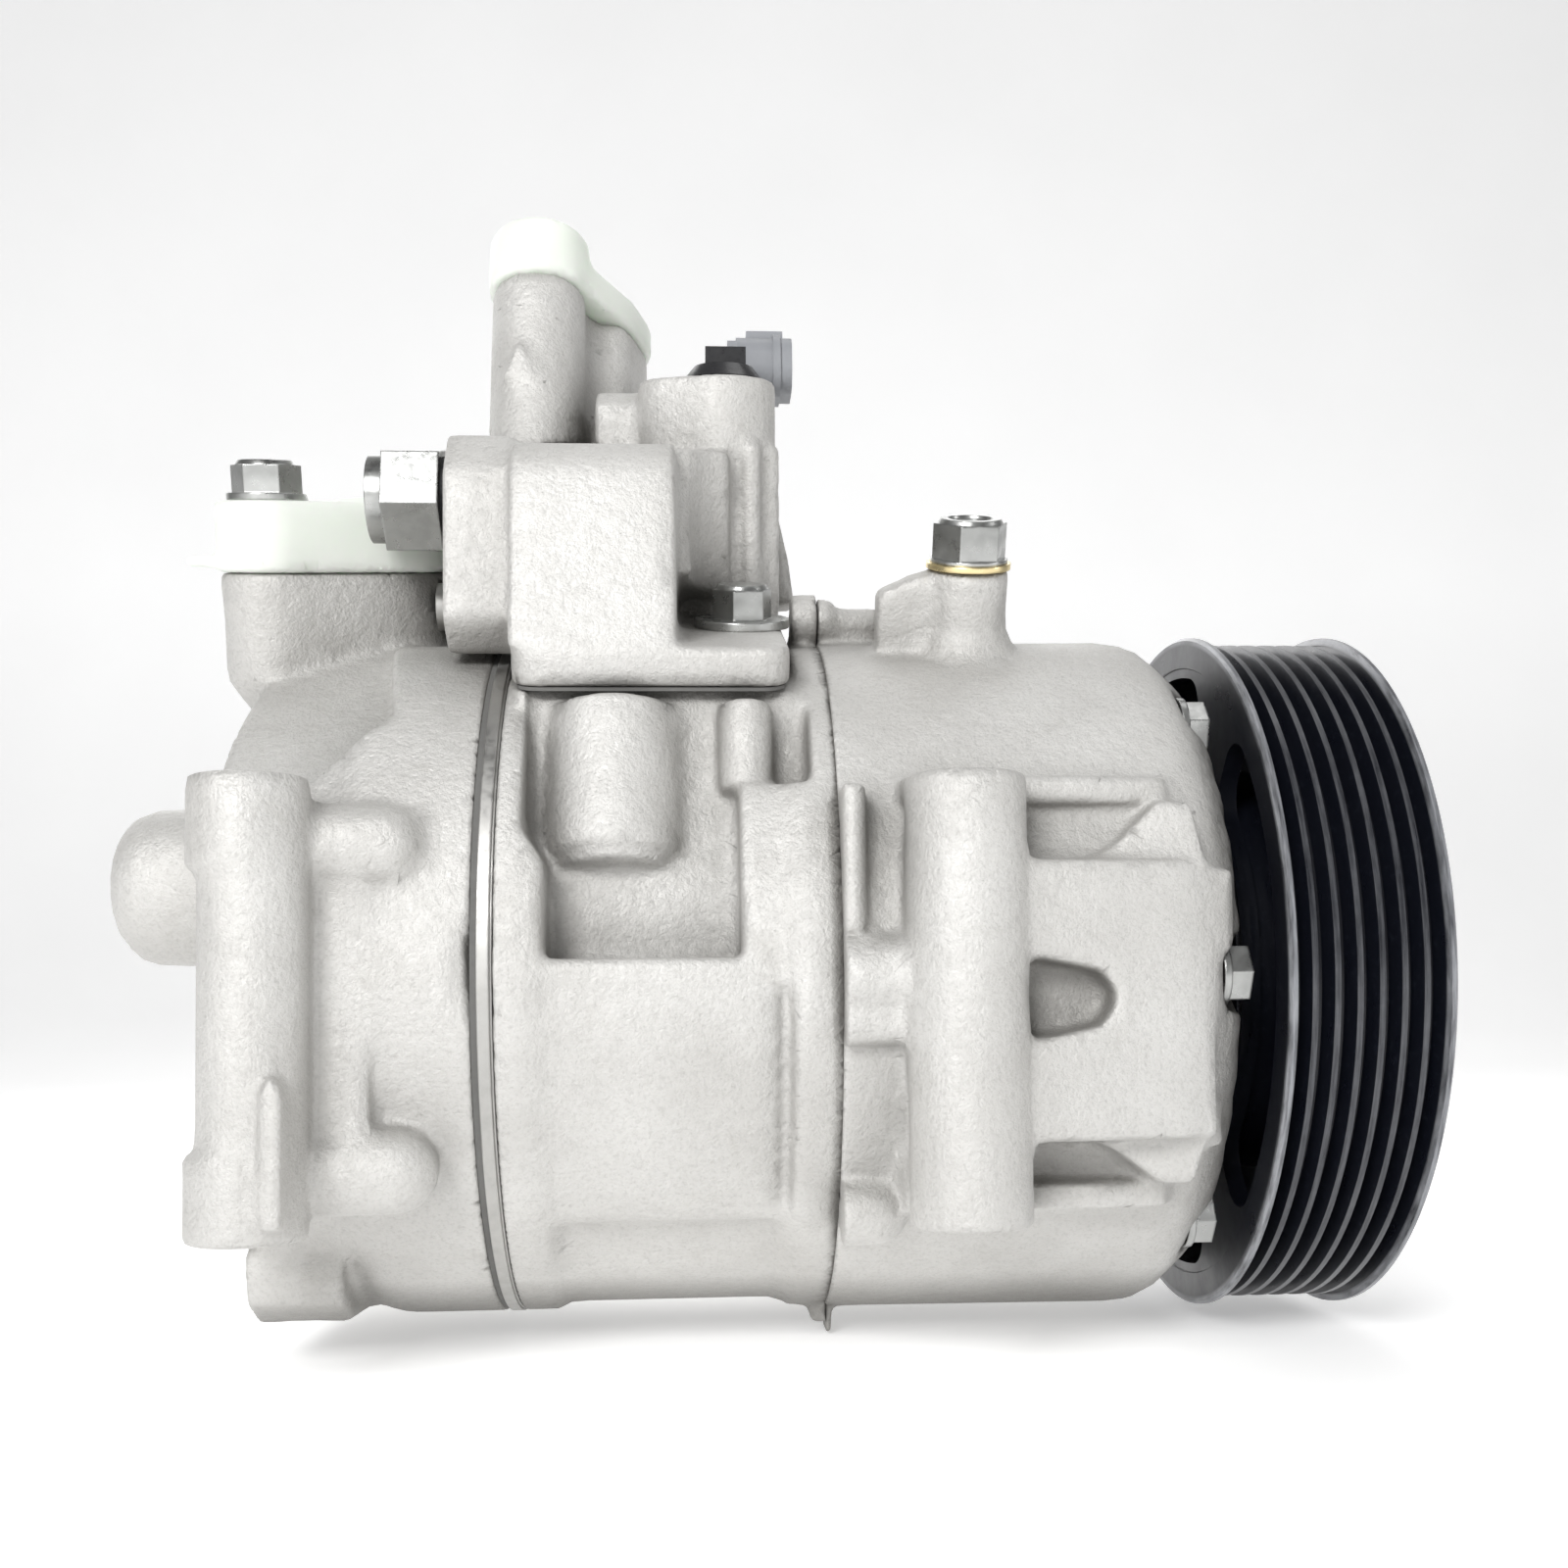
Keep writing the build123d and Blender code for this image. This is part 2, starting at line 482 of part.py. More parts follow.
# ---------------------------------------------------------------- through bolts
with BuildPart() as through_bolts:
    for angle in BOLT_ANGLES:
        y, z = polar(BOLT_CIRCLE_R, angle)
        bar_x(-150.0, -22.2, 2.8, y, z)
        bar_x(-22.2, -21.0, 5.4, y, z)
        with BuildSketch(Plane(origin=(-21.0, y, z), x_dir=(0, 1, 0), z_dir=(1, 0, 0))) as head:
            RegularPolygon(4.2, 6, major_radius=False, rotation=angle)
        extrude(head.sketch, amount=3.6)
finish(through_bolts, "through_bolts")

# ---------------------------------------------------------------- muffler and its fixings
GASKET_T = 0.6
BAND_0 = MUFFLER_SEAT + GASKET_T
BAND_1 = BAND_0 + 6.5
SEAT_OUTLINE = [(-128.9, -22.6, 5.0), (-93.5, -22.6, 5.0), (-93.5, 16.5, 5.0), (-128.9, 16.5, 5.0)]
LOBE_OUTLINE = [(-125.9, 10.0, 8.0), (-125.9, 32.5, 8.5)]
CHAMBER_OUTLINE = [(-130.0, -13.0, 3.0), (-112.0, -13.0, 3.0), (-112.0, 9.0, 3.0), (-130.0, 9.0, 3.0)]

with BuildPart() as muffler_gasket:
    hull_on(MUFFLER, MUFFLER_SEAT, BAND_0, [(u, v, r - 0.9) for u, v, r in SEAT_OUTLINE])
    hull_on(MUFFLER, MUFFLER_SEAT, BAND_0, [(u, v, r - 0.9) for u, v, r in LOBE_OUTLINE])
    hull_on(MUFFLER, MUFFLER_SEAT - 1, BAND_0 + 1, CHAMBER_OUTLINE, Mode.SUBTRACT)
    for u, v in MUFFLER_BOLTS:
        bar_on(MUFFLER, MUFFLER_SEAT - 1, BAND_0 + 1, 3.2, u, v, Mode.SUBTRACT)
finish(muffler_gasket, "muffler_gasket")

with BuildPart() as muffler_housing:
    hull_on(MUFFLER, BAND_0, BAND_1, SEAT_OUTLINE)
    hull_on(MUFFLER, BAND_0, BAND_1, LOBE_OUTLINE)
    # Box with a flat panel on the viewed side.
    plate_x(-134.0, -107.0, [
        (-47.6, 51.2), (-44.2, 80.5), (-42.6, 84.2), (-38.6, 87.8), (-14.0, 94.5), (9.0, 94.5),
        (13.0, 90.5), (13.0, 69.5), (-6.0, 62.2),
    ])
    # Wall behind the bolt pocket and the sloping web at the far side.
    block(-107.5, -91.0, -12.0, 11.0, 68.5, 96.0)
    plate_x(-107.5, -97.6, [(-28.0, 68.5), (-28.0, 90.6), (-14.0, 94.5), (-10.0, 94.5), (-10.0, 68.5)])
    plate_y(4.0, 12.0, [(-100.0, 98.0), (-89.5, 98.0), (-85.6, 80.0), (-84.6, 71.5), (-100.0, 71.5)])
    # Rear end pad that takes the relief valve, and its skirt that follows the rear housing.
    plate_x(-145.4, -133.9, [
        (-39.6, 71.0), (-39.6, 83.0), (-34.0, 90.5), (-14.0, 96.2), (4.0, 96.2), (8.0, 91.0),
        (8.0, 66.5), (-4.0, 64.5), (-24.0, 64.5), (-35.0, 65.5),
    ])
    plate_x(-145.4, -134.3, [
        (-39.6, 74.0), (-39.6, 58.0), (-33.0, 53.2), (-24.0, 57.8), (-14.0, 61.0), (-4.0, 62.4),
        (8.0, 63.2), (8.0, 74.0),
    ])
    # Control valve column with a wider rim.
    bar_on(VALVE, 64.0, 109.0, 9.0, *VALVE_AT)
    hull_on(VALVE, 95.5, 109.0, [(*VALVE_AT, 9.6), (-107.0, 10.6, 7.0)])
    bar_on(VALVE, 66.0, 97.0, 1.9, -93.6, 1.4)
    bar_on(VALVE, 66.0, 97.0, 1.9, -90.0, 5.6)
    # Discharge tower, bolt lobe and the saddle wall that ties them to the column.
    bar_on(DISCHARGE, 84.0, DISCHARGE_FACE, 9.0, *DISCHARGE_PORT)
    hull_on(DISCHARGE, 86.0, DISCHARGE_FACE, [(-121.4, -9.4, 5.7), (*DISCHARGE_BOLT, 6.2)])
    hull_on(DISCHARGE, 86.0, DISCHARGE_FACE, [
        (DISCHARGE_PORT[0], DISCHARGE_PORT[1] + 2.5, 6.6), (*DISCHARGE_BOLT, 4.6),
    ])
    plate_x(-122.0, -106.8, [(-10.0, 86.0), (-10.0, 105.0), (-6.0, 109.0), (12.0, 109.0), (12.0, 86.0)])
    # Plain raised arrow mark on the tower.
    with BuildSketch(Plane(origin=(-136.2, -3.0, 115.0), x_dir=(1, 0, 0), z_dir=(0, -1, 0))) as mark:
        with BuildLine():
            Polyline((-3.6, -3.8), (3.6, -3.8), (0.0, 4.4), close=True)
        make_face()
    extrude(mark.sketch, amount=2.8)
    # Muffling chamber, ports, valve bore and bolt holes.
    hull_on(MUFFLER, BAND_0 - 1, BAND_0 + 20, CHAMBER_OUTLINE, Mode.SUBTRACT)
    bar_on(DISCHARGE, 76.0, DISCHARGE_FACE + 1, 6.0, *DISCHARGE_PORT, mode=Mode.SUBTRACT)
    bar_on(DISCHARGE, 100.0, DISCHARGE_FACE + 1, 7.0, *DISCHARGE_PORT, mode=Mode.SUBTRACT)
    bar_on(DISCHARGE, DISCHARGE_FACE - 14, DISCHARGE_FACE + 1, 2.9, *DISCHARGE_BOLT, mode=Mode.SUBTRACT)
    bar_on(VALVE, 72.0, 110.0, 7.3, *VALVE_AT, mode=Mode.SUBTRACT)
    bar_on(VALVE, 107.3, 108.3, 8.0, *VALVE_AT, mode=Mode.SUBTRACT)
    bar_x(-146.0, -135.0, 5.1, -26.0, 81.8, Mode.SUBTRACT)
    bar_x(-146.0, -141.0, 4.6, -8.0, 67.6, Mode.SUBTRACT)
    for u, v in MUFFLER_BOLTS:
        bar_on(MUFFLER, BAND_0 - 1, BAND_1 + 30, 3.2, u, v, Mode.SUBTRACT)
    bar_on(MUFFLER, BAND_1, BAND_1 + 30, 9.2, *MUFFLER_BOLTS[0], mode=Mode.SUBTRACT)
    bar_on(MUFFLER, BAND_1, BAND_1 + 30, 9.2, *MUFFLER_BOLTS[1], mode=Mode.SUBTRACT)
finish(muffler_housing, "muffler_housing")

with BuildPart() as muffler_bolts:
    for u, v in MUFFLER_BOLTS:
        bar_on(MUFFLER, MUFFLER_SEAT - 7.5, BAND_1 + 7.4, 2.9, u, v)
        bar_on(MUFFLER, BAND_1, BAND_1 + 1.5, 8.3, u, v)
        hex_on(MUFFLER, BAND_1 + 1.5, BAND_1 + 7.4, 9.2, u, v, 12.0)
finish(muffler_bolts, "muffler_bolts")

# ---------------------------------------------------------------- relief valve
with BuildPart() as relief_valve:
    bar_x(-147.0, -136.0, 4.95, -26.0, 81.8)
    with BuildSketch(Plane(origin=(-156.4, -26, 81.8), x_dir=(0, 1, 0), z_dir=(1, 0, 0))) as hexagon:
        RegularPolygon(8.2, 6, major_radius=False, rotation=20)
    extrude(hexagon.sketch, amount=9.6)
    bar_x(-159.2, -156.4, 7.4, -26.0, 81.8)
    bar_x(-160.0, -137.5, 2.6, -26.0, 81.8, Mode.SUBTRACT)
    bar_x(-158.0, -138.5, 3.6, -26.0, 81.8, Mode.SUBTRACT)
finish(relief_valve, "relief_valve")

with BuildPart() as relief_valve_seal:
    with Locations((-146.8, -26.0, 81.8)):
        Cylinder(7.2, 1.2, rotation=(0, 90, 0), align=(Align.CENTER, Align.CENTER, Align.MIN))
        Cylinder(5.0, 1.2, rotation=(0, 90, 0), align=(Align.CENTER, Align.CENTER, Align.MIN),
                 mode=Mode.SUBTRACT)
finish(relief_valve_seal, "relief_valve_seal")

with BuildPart() as relief_poppet:
    bar_x(-142.6, -138.6, 3.3, -26.0, 81.8)
    bar_x(-151.0, -142.6, 1.4, -26.0, 81.8)
finish(relief_poppet, "relief_poppet")

with BuildPart() as relief_spring:
    coil_spring(-157.2, -143.2, 2.4, 0.45, 6, -26.0, 81.8)
finish(relief_spring, "relief_spring")

# ---------------------------------------------------------------- control valve
with BuildPart() as control_valve:
    bar_on(VALVE, 73.0, 107.2, 7.15, *VALVE_AT)
    for d in (78.0, 86.0, 94.0):
        bar_on(VALVE, d, d + 1.8, 9.0, *VALVE_AT, mode=Mode.SUBTRACT)
        bar_on(VALVE, d, d + 1.8, 5.6, *VALVE_AT)
    bar_on(VALVE, 72.0, 100.0, 2.6, *VALVE_AT, mode=Mode.SUBTRACT)
    for d in (82.0, 90.0):
        with Locations(VALVE.offset(d) * Location((VALVE_AT[0], VALVE_AT[1], 0), (0, 90, 0))):
            Cylinder(1.4, 20.0, mode=Mode.SUBTRACT)
finish(control_valve, "control_valve")

with BuildPart() as valve_rod:
    bar_on(VALVE, 76.0, 97.5, 1.2, *VALVE_AT)
    bar_on(VALVE, 84.0, 88.0, 2.3, *VALVE_AT)
finish(valve_rod, "valve_rod")

with BuildPart() as valve_seals:
    for d in (78.05, 86.05, 94.05):
        with BuildSketch(VALVE.offset(d)) as seal:
            with Locations(VALVE_AT):
                Circle(7.28)
                Circle(5.65, mode=Mode.SUBTRACT)
        extrude(seal.sketch, amount=1.7)
finish(valve_seals, "valve_seals")

with BuildPart() as valve_clip:
    with BuildSketch(VALVE.offset(107.35)) as clip:
        with Locations(VALVE_AT):
            Circle(7.9)
            Circle(6.0, mode=Mode.SUBTRACT)
        with Locations((VALVE_AT[0], VALVE_AT[1] + 8)):
            Rectangle(4.0, 8.0, mode=Mode.SUBTRACT)
    extrude(clip.sketch, amount=0.9)
finish(valve_clip, "valve_clip")

# Black cap of the coil with its latch frame, and the grey socket beside it.
with BuildPart() as valve_coil_cap:
    bar_on(VALVE, 107.2, 109.2, 5.8, *VALVE_AT)
    with BuildSketch(VALVE.offset(109.2)) as dome:
        with Locations(VALVE_AT):
            Circle(7.4)
    extrude(dome.sketch, amount=2.4, taper=40)
    with BuildSketch(VALVE.offset(110.6)) as frame:
        with Locations((VALVE_AT[0] + 0.4, VALVE_AT[1] + 1.0)):
            Rectangle(7.4, 6.0)
            Rectangle(4.6, 3.2, mode=Mode.SUBTRACT)
    extrude(frame.sketch, amount=4.4)
finish(valve_coil_cap, "valve_coil_cap")

SOCKET_Y = 2.5
SOCKET_Z = 116.6
with BuildPart() as valve_socket:
    with BuildSketch(Plane.YZ.offset(-95.6)) as shell:
        with Locations((SOCKET_Y, SOCKET_Z)):
            RectangleRounded(13.0, 10.6, 4.4)
    extrude(shell.sketch, amount=10.6)
    with BuildSketch(Plane.YZ.offset(-88.6)) as collar:
        with Locations((SOCKET_Y, SOCKET_Z)):
            RectangleRounded(14.2, 11.8, 5.0)
    extrude(collar.sketch, amount=1.4)
    block(-93.6, -86.6, SOCKET_Y - 2.4, SOCKET_Y + 2.4, SOCKET_Z + 5.0, SOCKET_Z + 6.9)
    with BuildSketch(Plane.YZ.offset(-92.6)) as mouth:
        with Locations((SOCKET_Y, SOCKET_Z)):
            RectangleRounded(10.6, 8.2, 3.2)
    extrude(mouth.sketch, amount=12.0, mode=Mode.SUBTRACT)
    # Neck back to the coil cap.
    block(-97.4, -95.6, -7.0, SOCKET_Y + 2.0, 113.8, 118.6)
finish(valve_socket, "valve_socket")

with BuildPart() as socket_pins:
    for dy in (-2.4, 2.4):
        block(-92.6, -89.6, SOCKET_Y + dy - 0.8, SOCKET_Y + dy + 0.8, SOCKET_Z - 0.35, SOCKET_Z + 0.35)
finish(socket_pins, "socket_pins")

# ---------------------------------------------------------------- oil plug
with BuildPart() as oil_plug_washer:
    with BuildSketch(PLUG.offset(75.8)) as washer:
        with Locations(PLUG_AT):
            Circle(7.3)
            Circle(5.1, mode=Mode.SUBTRACT)
    extrude(washer.sketch, amount=1.0)
finish(oil_plug_washer, "oil_plug_washer")

with BuildPart() as oil_plug:
    bar_on(PLUG, 64.0, 77.5, 5.0, *PLUG_AT)
    bar_on(PLUG, 76.8, 77.5, 6.7, *PLUG_AT)
    hex_on(PLUG, 77.5, 84.2, 11.4, *PLUG_AT, turn=8.0)
    with BuildSketch(PLUG.offset(85.0)) as dish:
        with Locations(PLUG_AT):
            Circle(4.2)
    extrude(dish.sketch, amount=-1.4, taper=20, mode=Mode.SUBTRACT)
finish(oil_plug, "oil_plug")

# ---------------------------------------------------------------- suction port cap and bolt
with BuildPart() as suction_cap:
    hull_on(SUCTION, SUCTION_FACE, 85.6, [(*SUCTION_PORT, 13.8), (*SUCTION_BOLT, 9.2)])
    bar_on(SUCTION, 85.6, 86.6, 8.0, SUCTION_PORT[0] - 1.0, SUCTION_PORT[1])
    bar_on(SUCTION, SUCTION_FACE - 7.0, SUCTION_FACE, 7.7, *SUCTION_PORT)
    # Pull tab at the tail.
    with BuildSketch(SUCTION.offset(SUCTION_FACE + 0.8)) as tab:
        with Locations((-188.5, 4.4)):
            Rectangle(9.0, 6.4)
    extrude(tab.sketch, amount=2.0)
    bar_on(SUCTION, SUCTION_FACE - 1, 87.0, 3.1, *SUCTION_BOLT, mode=Mode.SUBTRACT)
finish(suction_cap, "suction_cap")

with BuildPart() as suction_cap_bolt:
    bar_on(SUCTION, SUCTION_FACE - 10.0, 92.4, 2.8, *SUCTION_BOLT)
    bar_on(SUCTION, 85.6, 86.8, 6.9, *SUCTION_BOLT)
    hex_on(SUCTION, 86.8, 92.4, 10.4, *SUCTION_BOLT, turn=4.0)
finish(suction_cap_bolt, "suction_cap_bolt")

# ---------------------------------------------------------------- discharge port cap
with BuildPart() as discharge_cap:
    bar_on(DISCHARGE, DISCHARGE_FACE, DISCHARGE_FACE + 12.3, 9.9, *DISCHARGE_PORT)
    crown = discharge_cap.faces().sort_by(Axis((0, 0, 0), DISCHARGE.z_dir))[-1]
    fillet(crown.edges(), 1.8)
    hull_on(DISCHARGE, DISCHARGE_FACE, DISCHARGE_FACE + 7.0, [
        (*DISCHARGE_PORT, 9.4), (-121.4, -9.4, 6.6), (*DISCHARGE_BOLT, 7.1),
    ])
    bar_on(DISCHARGE, DISCHARGE_FACE - 6.0, DISCHARGE_FACE, 6.7, *DISCHARGE_PORT)
    bar_on(DISCHARGE, DISCHARGE_FACE - 8.0, DISCHARGE_FACE, 2.6, *DISCHARGE_BOLT)
finish(discharge_cap, "discharge_cap")

# ---------------------------------------------------------------- discharge check valve
CHECK = leaning(DISCHARGE_LEAN)
with BuildPart() as check_valve_body:
    with BuildSketch(CHECK.offset(100.0)) as sleeve:
        with Locations(DISCHARGE_PORT):
            Circle(6.95)
            Circle(5.2, mode=Mode.SUBTRACT)
    extrude(sleeve.sketch, amount=16.0)
    with BuildSketch(CHECK.offset(100.0)) as seat:
        with Locations(DISCHARGE_PORT):
            Circle(6.0)
            Circle(3.4, mode=Mode.SUBTRACT)
    extrude(seat.sketch, amount=1.6)
    with BuildSketch(CHECK.offset(108.4)) as stop:
        with Locations(DISCHARGE_PORT):
            Circle(6.0)
            Circle(3.0, mode=Mode.SUBTRACT)
    extrude(stop.sketch, amount=1.6)
finish(check_valve_body, "check_valve_body")

with BuildPart() as check_poppet:
    bar_on(CHECK, 101.65, 103.4, 4.8, *DISCHARGE_PORT)
    bar_on(CHECK, 103.4, 108.0, 1.6, *DISCHARGE_PORT)
finish(check_poppet, "check_poppet")

# ---------------------------------------------------------------- transfer tube
with BuildPart() as transfer_tube:
    bar_x(-150.6, -141.2, 4.3, -8.0, 67.6)
    bar_x(-153.0, -140.0, 2.8, -8.0, 67.6, Mode.SUBTRACT)
finish(transfer_tube, "transfer_tube")

with BuildPart() as transfer_ring:
    with Locations((-146.9, -8.0, 67.6)):
        Cylinder(5.6, 1.4, rotation=(0, 90, 0), align=(Align.CENTER, Align.CENTER, Align.MIN))
        Cylinder(4.3, 1.4, rotation=(0, 90, 0), align=(Align.CENTER, Align.CENTER, Align.MIN),
                 mode=Mode.SUBTRACT)
finish(transfer_ring, "transfer_ring")

# ---------------------------------------------------------------- drive shaft and its bearings
with BuildPart() as drive_shaft:
    turned([
        (-117.5, 0), (-118.0, 5.5), (-117.5, 6.0), (-106.0, 6.0), (-106.0, 7.9), (-12.0, 7.9),
        (-10.5, 7.0), (8.0, 7.0), (8.0, 6.4), (19.6, 6.4), (19.6, 5.0), (27.0, 5.0),
        (27.8, 4.2), (27.8, 0),
    ])
    for k in range(18):
        y, z = polar(6.4, k * 20)
        bar_x(9.5, 19.6, 0.45, y, z)
finish(drive_shaft, "drive_shaft")

with BuildPart() as front_needle_bearing:
    ring(-29.5, -14.5, 10.6, 11.95)
    ring(-29.5, -28.7, 8.6, 10.7)
    ring(-15.3, -14.5, 8.6, 10.7)
    for k in range(18):
        y, z = polar(9.27, k * 20)
        bar_x(-28.5, -15.5, 1.28, y, z)
finish(front_needle_bearing, "front_needle_bearing")

with BuildPart() as rear_needle_bearing:
    ring(-104.0, -90.0, 10.6, 11.95)
    ring(-104.0, -103.2, 8.6, 10.7)
    ring(-90.8, -90.0, 8.6, 10.7)
    for k in range(18):
        y, z = polar(9.27, k * 20)
        bar_x(-103.0, -91.0, 1.28, y, z)
finish(rear_needle_bearing, "rear_needle_bearing")

with BuildPart() as front_thrust_bearing:
    ring(-32.2, -31.0, 15.0, 27.0)
    for k in range(20):
        angle = k * 18
        y, z = polar(21.0, angle)
        with Locations(Location((-33.25, y, z), (-angle, 0, 0))):
            Cylinder(1.0, 8.0, rotation=(90, 0, 0))
finish(front_thrust_bearing, "front_thrust_bearing")

with BuildPart() as rear_thrust_bearing:
    ring(-107.6, -106.5, 7.0, 11.8)
    for k in range(12):
        angle = k * 30
        y, z = polar(9.4, angle)
        with Locations(Location((-108.6, y, z), (-angle, 0, 0))):
            Cylinder(0.95, 4.0, rotation=(90, 0, 0))
    ring(-110.7, -109.6, 7.0, 11.8)
finish(rear_thrust_bearing, "rear_thrust_bearing")

with BuildPart() as thrust_spring:
    for k in range(3):
        turned([
            (-113.6 - 3.0 * k, 7.4), (-112.9 - 3.0 * k, 7.4), (-110.9 - 3.0 * k, 11.0),
            (-111.6 - 3.0 * k, 11.0),
        ])
finish(thrust_spring, "thrust_spring")

with BuildPart() as shaft_seal:
    ring(-7.6, 4.6, 10.6, 12.45)
    ring(-7.6, -6.4, 7.6, 10.7)
    turned([(-4.4, 10.7), (-3.0, 7.15), (-1.8, 7.15), (-1.0, 10.7)])
    turned([(1.2, 10.7), (2.0, 7.15), (3.0, 7.15), (3.8, 10.7)])
finish(shaft_seal, "shaft_seal")

with BuildPart() as seal_clip:
    ring(5.3, 6.3, 10.4, 13.2)
    block(5.0, 7.0, -2.0, 2.0, 8.0, 14.0, Mode.SUBTRACT)
finish(seal_clip, "seal_clip")

# ---------------------------------------------------------------- lug plate, swash plate, hinge
HINGE_Z = 15.5
HINGE_X = -56.0
with BuildPart() as lug_plate:
    turned([
        (-34.55, 7.95), (-34.55, 28.0), (-36.5, 40.0), (-38.5, 43.0), (-43.5, 43.0), (-43.5, 15.0),
        (-47.0, 13.0), (-47.0, 7.95),
    ])
    # Counterweight thinned on the hinge side, with a pair of arms reaching to the plate.
    block(-44.0, -40.5, -44, 44, 20.0, 45.0, Mode.SUBTRACT)
    for y in (-10.4, 10.4):
        block(-59.8, -40.0, y - 2.4, y + 2.4, HINGE_Z - 3.6, HINGE_Z + 4.2)
        with Locations((HINGE_X, y, HINGE_Z)):
            Cylinder(2.05, 10, rotation=(90, 0, 0), mode=Mode.SUBTRACT)
finish(lug_plate, "lug_plate")

with BuildPart() as swash_plate:
    ring(SWASH_X - SWASH_HALF, SWASH_X + SWASH_HALF, 8.2, SWASH_R)
    # Hub ahead of and behind the disc, and the lug between the two arms.
    ring(SWASH_X + SWASH_HALF, SWASH_X + 7.5, 8.2, 23.0)
    ring(SWASH_X - 7.5, SWASH_X - SWASH_HALF, 8.2, 20.0)
    block(-66.0, -51.5, -7.7, 7.7, 11.2, 20.4)
    with Locations((HINGE_X, 0, HINGE_Z)):
        Cylinder(2.05, 40, rotation=(90, 0, 0), mode=Mode.SUBTRACT)
    # Balance cut-outs near the rim's middle.
    for angle in (200, 270, 340):
        y, z = polar(15.5, angle)
        bar_x(-63.0, -59.0, 2.6, y, z, Mode.SUBTRACT)
finish(swash_plate, "swash_plate")

with BuildPart() as hinge_pin:
    with Locations((HINGE_X, 0, HINGE_Z)):
        Cylinder(2.0, 25.6, rotation=(90, 0, 0))
finish(hinge_pin, "hinge_pin")


with BuildPart() as tilt_spring:
    coil_spring(-59.4, -48.1, 9.5, 0.9, 4)
finish(tilt_spring, "tilt_spring")

with BuildPart() as return_spring:
    coil_spring(-88.8, -76.6, 9.5, 0.9, 4)
finish(return_spring, "return_spring")

# ---------------------------------------------------------------- pistons, rings and shoes
PISTON_R = 12.9
PISTON_CROWN = X_BLOCK_END + 0.6
PISTON_TAIL = -52.0
with BuildPart() as one_piston:
    y, z = polar(BORE_CIRCLE_R, BORE_ANGLES[0])
    bar_x(PISTON_CROWN, PISTON_TAIL, PISTON_R, y, z)
    # Slot that lets the plate's rim through, under the outer bridge.
    ring(SWASH_X - 4.6, SWASH_X + 4.6, 0.0, SWASH_R + 0.8, Mode.SUBTRACT)
    # Room for the plate's hub and the hinge.
    ring(SWASH_X - 10.0, PISTON_TAIL + 5, 0.0, 25.2, Mode.SUBTRACT)
    # Spherical seats for the two shoes, the ring groove and a lightening pocket.
    dome_x(SWASH_X, 9.2, y, z, Mode.SUBTRACT)
    with BuildSketch(Plane(origin=(PISTON_CROWN + 4.0, y, z), x_dir=(0, 1, 0),
                           z_dir=(1, 0, 0))) as groove:
        Circle(PISTON_R + 1)
        Circle(PISTON_R - 1.2, mode=Mode.SUBTRACT)
    extrude(groove.sketch, amount=1.6, mode=Mode.SUBTRACT)
    bar_x(-103.0, SWASH_X - 13.0, 7.5, *polar(BORE_CIRCLE_R - 9.0, BORE_ANGLES[0]),
          mode=Mode.SUBTRACT)

with BuildPart() as pistons:
    for k in range(CYLINDERS):
        add(one_piston.part.rotate(Axis.X, -k * STEP_DEG))
finish(pistons, "pistons")

with BuildPart() as piston_rings:
    for angle in BORE_ANGLES:
        y, z = polar(BORE_CIRCLE_R, angle)
        with BuildSketch(Plane(origin=(PISTON_CROWN + 4.05, y, z), x_dir=(0, 1, 0),
                               z_dir=(1, 0, 0))) as loop:
            Circle(BORE_R - 0.03)
            Circle(PISTON_R - 1.15, mode=Mode.SUBTRACT)
        extrude(loop.sketch, amount=1.5)
finish(piston_rings, "piston_rings")

with BuildPart() as piston_shoes:
    for angle in BORE_ANGLES:
        y, z = polar(BORE_CIRCLE_R, angle)
        dome_x(SWASH_X, 9.05, y, z)
    ring(SWASH_X - SWASH_HALF - 0.1, SWASH_X + SWASH_HALF + 0.1, 0.0, 60.0, Mode.SUBTRACT)
finish(piston_shoes, "piston_shoes")

